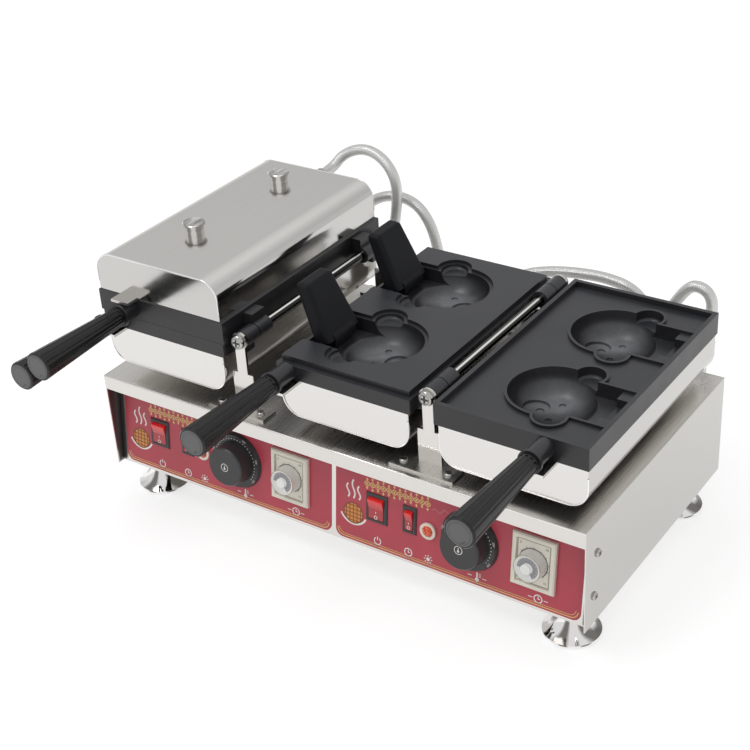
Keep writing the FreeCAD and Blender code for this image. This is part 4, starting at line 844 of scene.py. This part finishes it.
def makeDial(word, side):
    def dialFace(out):
        out += section["film"] + dial["gap"]
        return panelFace(side, section["dial"], section["dialHigh"], out, "thermostat_knob_%s_body" % word)

    marks = []
    for i in range(dial["dotCount"] + 1):
        angle = dial["from"] - dial["sweep"] * i / dial["dotCount"]
        marks += disc(*polar(dial["dots"], angle), dial["dotSize"], 10)
    for i in range(dial["figureCount"]):
        angle = dial["from"] - dial["sweep"] * i / (dial["figureCount"] - 1)
        figure = lettering(str(dial["figureStep"] * (i + 1)), dial["figureTall"])
        marks += moved(figure, *polar(dial["figures"], angle), 1.0, angle - 90)
    dialFace(dial["skirtThick"]).lay("dialScale_" + word, marks, "white", "black", "over")
    icon = ring(0, 0, dial["icon"], dial["iconLine"])
    icon += disc(0, dial["bulbLow"], dial["bulb"], 16) + stroke(dial["stem"], dial["stemWide"])
    dialFace(dial["proud"]).lay("dialMark_" + word, icon, "white", "black", "cap")


clock = {"wide": 0.048, "tall": 0.059, "frame": 0.005, "thick": 0.005, "sink": 0.0015, "knob": 0.0155,
         "knobTall": 0.013, "gap": 0.0004, "edge": 0.0012, "edgeCorner": 0.001, "figures": (0.0163, 0.0176),
         "figuresFrom": 225, "figuresStep": 27, "figureMarks": 11, "figureLine": 0.0005, "shadow": 0.0004,
         "shadowWide": 0.0006, "centre": (0.0008, 0.001), "scale": 0.0086, "scaleArc": (-62, 186),
         "scaleWide": 0.0056, "ticks": (0.0092, 0.0108), "tickFrom": -45, "tickSweep": 230, "tickCount": 12,
         "tickLine": 0.0003, "shadeIn": 0.0012, "shadeWide": 0.0006, "rimIn": 0.0021, "rimWide": 0.0009,
         "cap": (-0.0012, -0.0010), "capSizes": (0.0056, 0.0012)}
clockFigures = (("5", 0.004, -0.0145, 0.0192), ("10", 0.004, 0.0138, 0.0192),
                ("0", 0.0036, -0.0145, -0.0185), ("15", 0.0036, 0.0135, -0.0185))


def makeClock(word, side):
    out = section["film"] + clock["thick"] - clock["sink"]
    floor = panelFace(side, section["timer"], section["timerHigh"], out, "base")
    across = clock["wide"] / 2 - clock["frame"] - clock["edge"]
    tall = clock["tall"] / 2 - clock["frame"] - clock["edge"]
    # painted shade: a dark line round the inside of the bezel's frame
    edge = frameLine(-across, -tall, across, tall, clock["edgeCorner"], clock["edge"])
    floor.lay("clockEdgeShade_" + word, edge, "bezelShade", "timer_bezel")
    marks = []
    for i in range(clock["figureMarks"]):
        angle = clock["figuresFrom"] - clock["figuresStep"] * i
        marks += stroke([polar(radius, angle) for radius in clock["figures"]], clock["figureLine"])
    for text, high, x, y in clockFigures:
        marks += moved(lettering(text, high), x, y)
    # painted shadow: a dark ring round the knob's foot on the bezel floor
    marks += ring(0, 0, clock["knob"] + clock["shadow"], clock["shadowWide"])
    floor.lay("clockFiguresAndShadow_" + word, marks, "dark", "timer_bezel")
    out += clock["gap"] + clock["knobTall"]
    front = panelFace(side, section["timer"], section["timerHigh"], out, "timer_knob_%s_body" % word)
    crescent = stroke(arcPoints(*clock["centre"], clock["scale"], *clock["scaleArc"]), clock["scaleWide"])
    front.lay("clockScale_" + word, crescent, "scale", "clear_knob")
    ticks = []
    for i in range(clock["tickCount"] + 1):
        angle = clock["tickFrom"] + clock["tickSweep"] * i / clock["tickCount"]
        ends = [polar(radius, angle, *clock["centre"]) for radius in clock["ticks"]]
        ticks += stroke(ends, clock["tickLine"])
    front.lay("clockTicks_" + word, ticks, "white", "clear_knob", "over")
    makeButton("clockCap_" + word, front, clock["cap"], *clock["capSizes"], "cap", "aluminium")
    # painted shade, then a painted highlight, just inside the knob's front edge
    shade = ring(0, 0, clock["knob"] - clock["shadeIn"], clock["shadeWide"])
    front.lay("clockShade_" + word, shade, "bezelShade", "clear_knob")
    rim = ring(0, 0, clock["knob"] - clock["rimIn"], clock["rimWide"])
    front.lay("clockRimHighlight_" + word, rim, "white", "clear_knob")


buttonSides = 32
buttonRows = ((1.0, 0.0), (1.0, 0.55), (0.93, 0.85), (0.8, 1.0))  # part of the radius, part of the height


def makeButton(name, face, centre, radius, tall, finish, slot):
    # low turned cap: flat middle, rounded shoulder
    points = [face.at(*polar(radius * reach, 360 * i / buttonSides, *centre), tall * rise)
              for reach, rise in buttonRows for i in range(buttonSides)]
    faces = tubeFaces(len(buttonRows), buttonSides)
    faces.append(tuple(range(len(points) - buttonSides, len(points))))
    makePiece(name, points, faces, finishes[finish], face.body, slot)


rockerMark = {"out": 0.0025, "bar": (-0.0028, -0.0052), "barWide": 0.0008, "ring": 0.0018, "ringWide": 0.0007}
rockerKinds = {"power": {"at": "power", "scale": 1.0, "ringHigh": -0.0097},
               "timer": {"at": "switch", "scale": 0.85, "ringHigh": -0.0082}}


def markRocker(word, side, kind):
    # the upper half of a rocker stands out, and both marks are on the lower half
    values = rockerKinds[kind]
    scale = values["scale"]
    out = section["film"] + rockerMark["out"]
    body = "%s_rocker_%s_body" % (kind, word)
    face = panelFace(side, section[values["at"]], section["dialHigh"], out, body)
    marks = stroke([(0, end * scale) for end in rockerMark["bar"]], rockerMark["barWide"])
    marks += ring(0, values["ringHigh"], rockerMark["ring"] * scale, rockerMark["ringWide"])
    face.lay("%sMarks_%s" % (kind, word), marks, "white", "rocker", "rocker")


for word, side in halves:
    makeDial(word, side)
    makeClock(word, side)
    for kind in rockerKinds:
        markRocker(word, side, kind)
print("controls marked")


def slab(left, low, right, high):
    return [(left, low), (right, low), (right, high), (left, high)]


def cross(radius, width):
    arms = [slab(-width, width, width, radius), slab(-width, -radius, width, -width)]
    return [slab(-radius, -width, radius, width)] + arms


screws = {"rodReach": 0.0044, "rodRecess": 0.0042, "flangeReach": 0.002, "flangeThick": 0.0025,
          "flangeRecess": 0.0021, "flangeTurn": (0.8, 0.6), "holeApart": 0.026, "smallTall": 0.0024,
          "sideHigh": {"low": 0.034, "high": 0.082}, "sideIn": 0.007, "sideRecess": 0.0023,
          "sideTurn": (0.77, 0.64), "slot": 0.29, "edge": 1.22, "edgeWide": 0.16}


def rodScrews(letter, x):
    # the two large heads at the ends of a hinge rod
    reach = screws["rodReach"]
    for end, y, across in (("front", panFront + reach, 1), ("rear", panBack - reach, -1)):
        face = Face((x, y, base["top"] + line["rise"]), (across, 0, 0), (0, 0, 1), "base")
        yield "%s_%s" % (letter, end), face, screws["rodRecess"]


def flangeScrews(letter, x):
    # the small heads that hold the brackets' feet down
    reach = screws["flangeReach"]
    z = base["top"] + screws["flangeThick"] + screws["smallTall"]
    c, d = screws["flangeTurn"]
    for word, hole in halves:
        for end, y in (("front", panFront + reach), ("rear", panBack - reach)):
            face = Face((x + hole * screws["holeApart"], y, z), (c, d, 0), (-d, c, 0), "base")
            yield "%s_%s_%s" % (letter, end, word), face, screws["flangeRecess"]


def sideScrews():
    # the small heads on the base's ends, beside the panel
    c, d = screws["sideTurn"]
    for word, side in halves:
        for level, high in screws["sideHigh"].items():
            place = panelFoot + panelUp * high - panelOut * screws["sideIn"]
            place.x = side * (base["width"] / 2 + screws["smallTall"])
            across = Vector((0, side * c, d))
            face = Face(place, across, Vector((side, 0, 0)).cross(across), "base")
            yield "side_%s_%s" % (word, level), face, screws["sideRecess"]


def markScrews(heads):
    for name, face, radius in heads:
        # painted shade: a dark cross for each head's recess and a dark ring at its rim
        recess = cross(radius, radius * screws["slot"])
        recess += ring(0, 0, radius * screws["edge"], radius * screws["edgeWide"])
        face.lay("recess_" + name, recess, "dark", "chrome", "recess")


for letter, x in hingeLines:
    markScrews(rodScrews(letter, x))
    markScrews(flangeScrews(letter, x))
markScrews(sideScrews())
print("screws marked")


gripEnd = {"radius": 0.0134, "tall": 0.0007, "ringIn": 0.0022, "ringWide": 0.0003, "mark": 0.0026,
           "markWide": 0.0009, "markPlace": (0.0035, -0.0085), "markTurn": 35}


def makeGripEnd(pan):
    low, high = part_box(pan + "_grip")
    x, z = (low[0] + high[0]) / 2, (low[2] + high[2]) / 2
    face = Face((x, low[1], z), (1, 0, 0), (0, 0, 1), pan + "_pan")
    makeButton("gripEnd_" + pan, face, (0, 0), gripEnd["radius"], gripEnd["tall"], "gripEnd", "grip")
    marks = ring(0, 0, gripEnd["radius"] - gripEnd["ringIn"], gripEnd["ringWide"])
    scratch = stroke([(-gripEnd["mark"], 0), (gripEnd["mark"], 0)], gripEnd["markWide"])
    marks += moved(scratch, *gripEnd["markPlace"], 1, gripEnd["markTurn"])
    face.lay("gripMark_" + pan, marks, "black", "grip", "grip")


for pan in pans:
    makeGripEnd(pan)
print("grips capped")


bead = {"radius": 0.0009, "inset": 0.0006, "sides": 8, "corner": 0.022, "straight": 0.014, "lip": 0.0006,
        "slant": (0.3, 0.5, 0.8)}


def makeBead(name, points, body, closed=False):
    # thin bright bead laid along a run of points, a painted highlight on a bent edge
    count = len(points)
    rings = []
    for i, place in enumerate(points):
        before = points[i - 1] if closed or i else place
        after = points[(i + 1) % count] if closed or i < count - 1 else place
        tangent = (after - before).normalized()
        side = tangent.cross(Vector(bead["slant"])).normalized()
        rings += circlePoints(place, side, side.cross(tangent), bead["radius"], bead["sides"])
    faces = tubeFaces(count, bead["sides"], closed)
    makePiece(name, rings, faces, finishes["edgeHighlight"], body, "steel", True)


def highlightTrayEdges(pan):
    # a bright bead along the edges of each tray's end plates, a painted highlight on the folded sheet's bend
    low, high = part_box(pan + "_casing")
    onTop = pan == "a_upper"
    way = 1 if onTop else -1
    edge = high[2] if onTop else low[2]
    left, right = low[0] + bead["inset"], high[0] - bead["inset"]
    middle, radius = edge - way * bead["corner"], bead["corner"] - bead["inset"]
    outline = [(left, middle - way * bead["straight"])]
    for centre, start, end in ((left + radius, 180, 90), (right - radius, 90, 0)):
        outline += [(x, middle + way * y) for x, y in arcPoints(centre, 0, radius, start, end, 12)]
    outline.append((right, middle - way * bead["straight"]))
    reach = hoseSizes["trayInset"] + bead["inset"]
    for word, y in (("front", panFront + reach), ("rear", panBack - reach)):
        makeBead("seam_%s_%s" % (pan, word), [Vector((x, y, z)) for x, z in outline], pan + "_pan")


def highlightBaseEdge():
    # a bright bead as a painted highlight on the rounded edge all round the base's top
    x, z = base["width"] / 2 - bead["lip"], base["top"] - bead["lip"]
    front, rear = base["front"] + bead["lip"], base["front"] + base["depth"] - bead["lip"]
    corners = ((-x, front), (x, front), (x, rear), (-x, rear))
    makeBead("seam_base", [Vector((a, b, z)) for a, b in corners], "base", True)


for pan in pans:
    highlightTrayEdges(pan)
highlightBaseEdge()
print("edgeHighlights laid")


stageSizes = {"floor": 12.0, "floorColour": (0.80, 0.80, 0.80), "shownColour": (0.50, 0.50, 0.50),
              "shownGlow": 0.62, "world": 0.80, "lamp": 20.0, "lampSize": 1.2, "lampPlace": (-0.9, -1.3, 2.9),
              "lampAim": (0, 0, 0.15)}
skyBand = {"turn": (0.81, 0.586), "above": (0.16, 0.36), "below": (0.72, 0.35), "back": (0.1, 0.6),
           "dim": 0.30}
rays = {"camera": 0, "glossy": 3, "transmission": 6}


def makeFloor():
    half = stageSizes["floor"] / 2
    corners = [(x, y, 0) for x, y in slab(-half, -half, half, half)]
    mesh = bpy.data.meshes.new("floor")
    mesh.from_pydata(corners, [], [(0, 1, 2, 3)])
    floor = newObject("floor", mesh)
    paint = Paint("paleFloor")
    path = paint.add("ShaderNodeLightPath")
    seen = path[rays["camera"]].maths("MAXIMUM", path[rays["glossy"]])
    seen = seen.maths("MAXIMUM", path[rays["transmission"]])
    colour = paint.blend(seen, stageSizes["floorColour"], stageSizes["shownColour"])
    glow = paint.blend(seen, (0.0, 0.0, 0.0), (1.0, 1.0, 1.0))
    mesh.materials.append(paint.finish(Base_Color=colour, Roughness=1.0, Emission_Color=glow,
                                       Emission_Strength=stageSizes["shownGlow"]))


def makeWorld():
    # plain light, a little dimmer in a low band at the back left
    world = bpy.data.worlds.new("studio")
    bpy.context.scene.world = world
    paint = Paint(world)
    across, deep, high = paint.split(paint.coordinates("Generated"))
    toBackLeft = deep * skyBand["turn"][0] - across * skyBand["turn"][1]
    dim = paint.between(high, *skyBand["below"]) * paint.between(toBackLeft, *skyBand["back"])
    dim = dim * paint.between(high, *skyBand["above"])
    level = 1.0 - dim * skyBand["dim"]
    shown = paint.add("ShaderNodeLightPath")[rays["camera"]]
    strength = shown.maths("MAXIMUM", level * stageSizes["world"])
    sky = paint.add("ShaderNodeBackground", {}, ((1.0, 1.0, 1.0, 1.0), strength))[0]
    paint.add("ShaderNodeOutputWorld", {}, (sky,))


def makeLamp():
    light = bpy.data.lights.new("softbox", "AREA")
    light.energy = stageSizes["lamp"]
    light.size = stageSizes["lampSize"]
    lamp = newObject("softbox", light)
    lamp.location = stageSizes["lampPlace"]
    aim = Vector(stageSizes["lampAim"]) - lamp.location
    lamp.rotation_euler = aim.to_track_quat("-Z", "Y").to_euler()


makeFloor()
makeWorld()
makeLamp()
bpy.context.scene.view_settings.view_transform = "Standard"

print("scene ready")
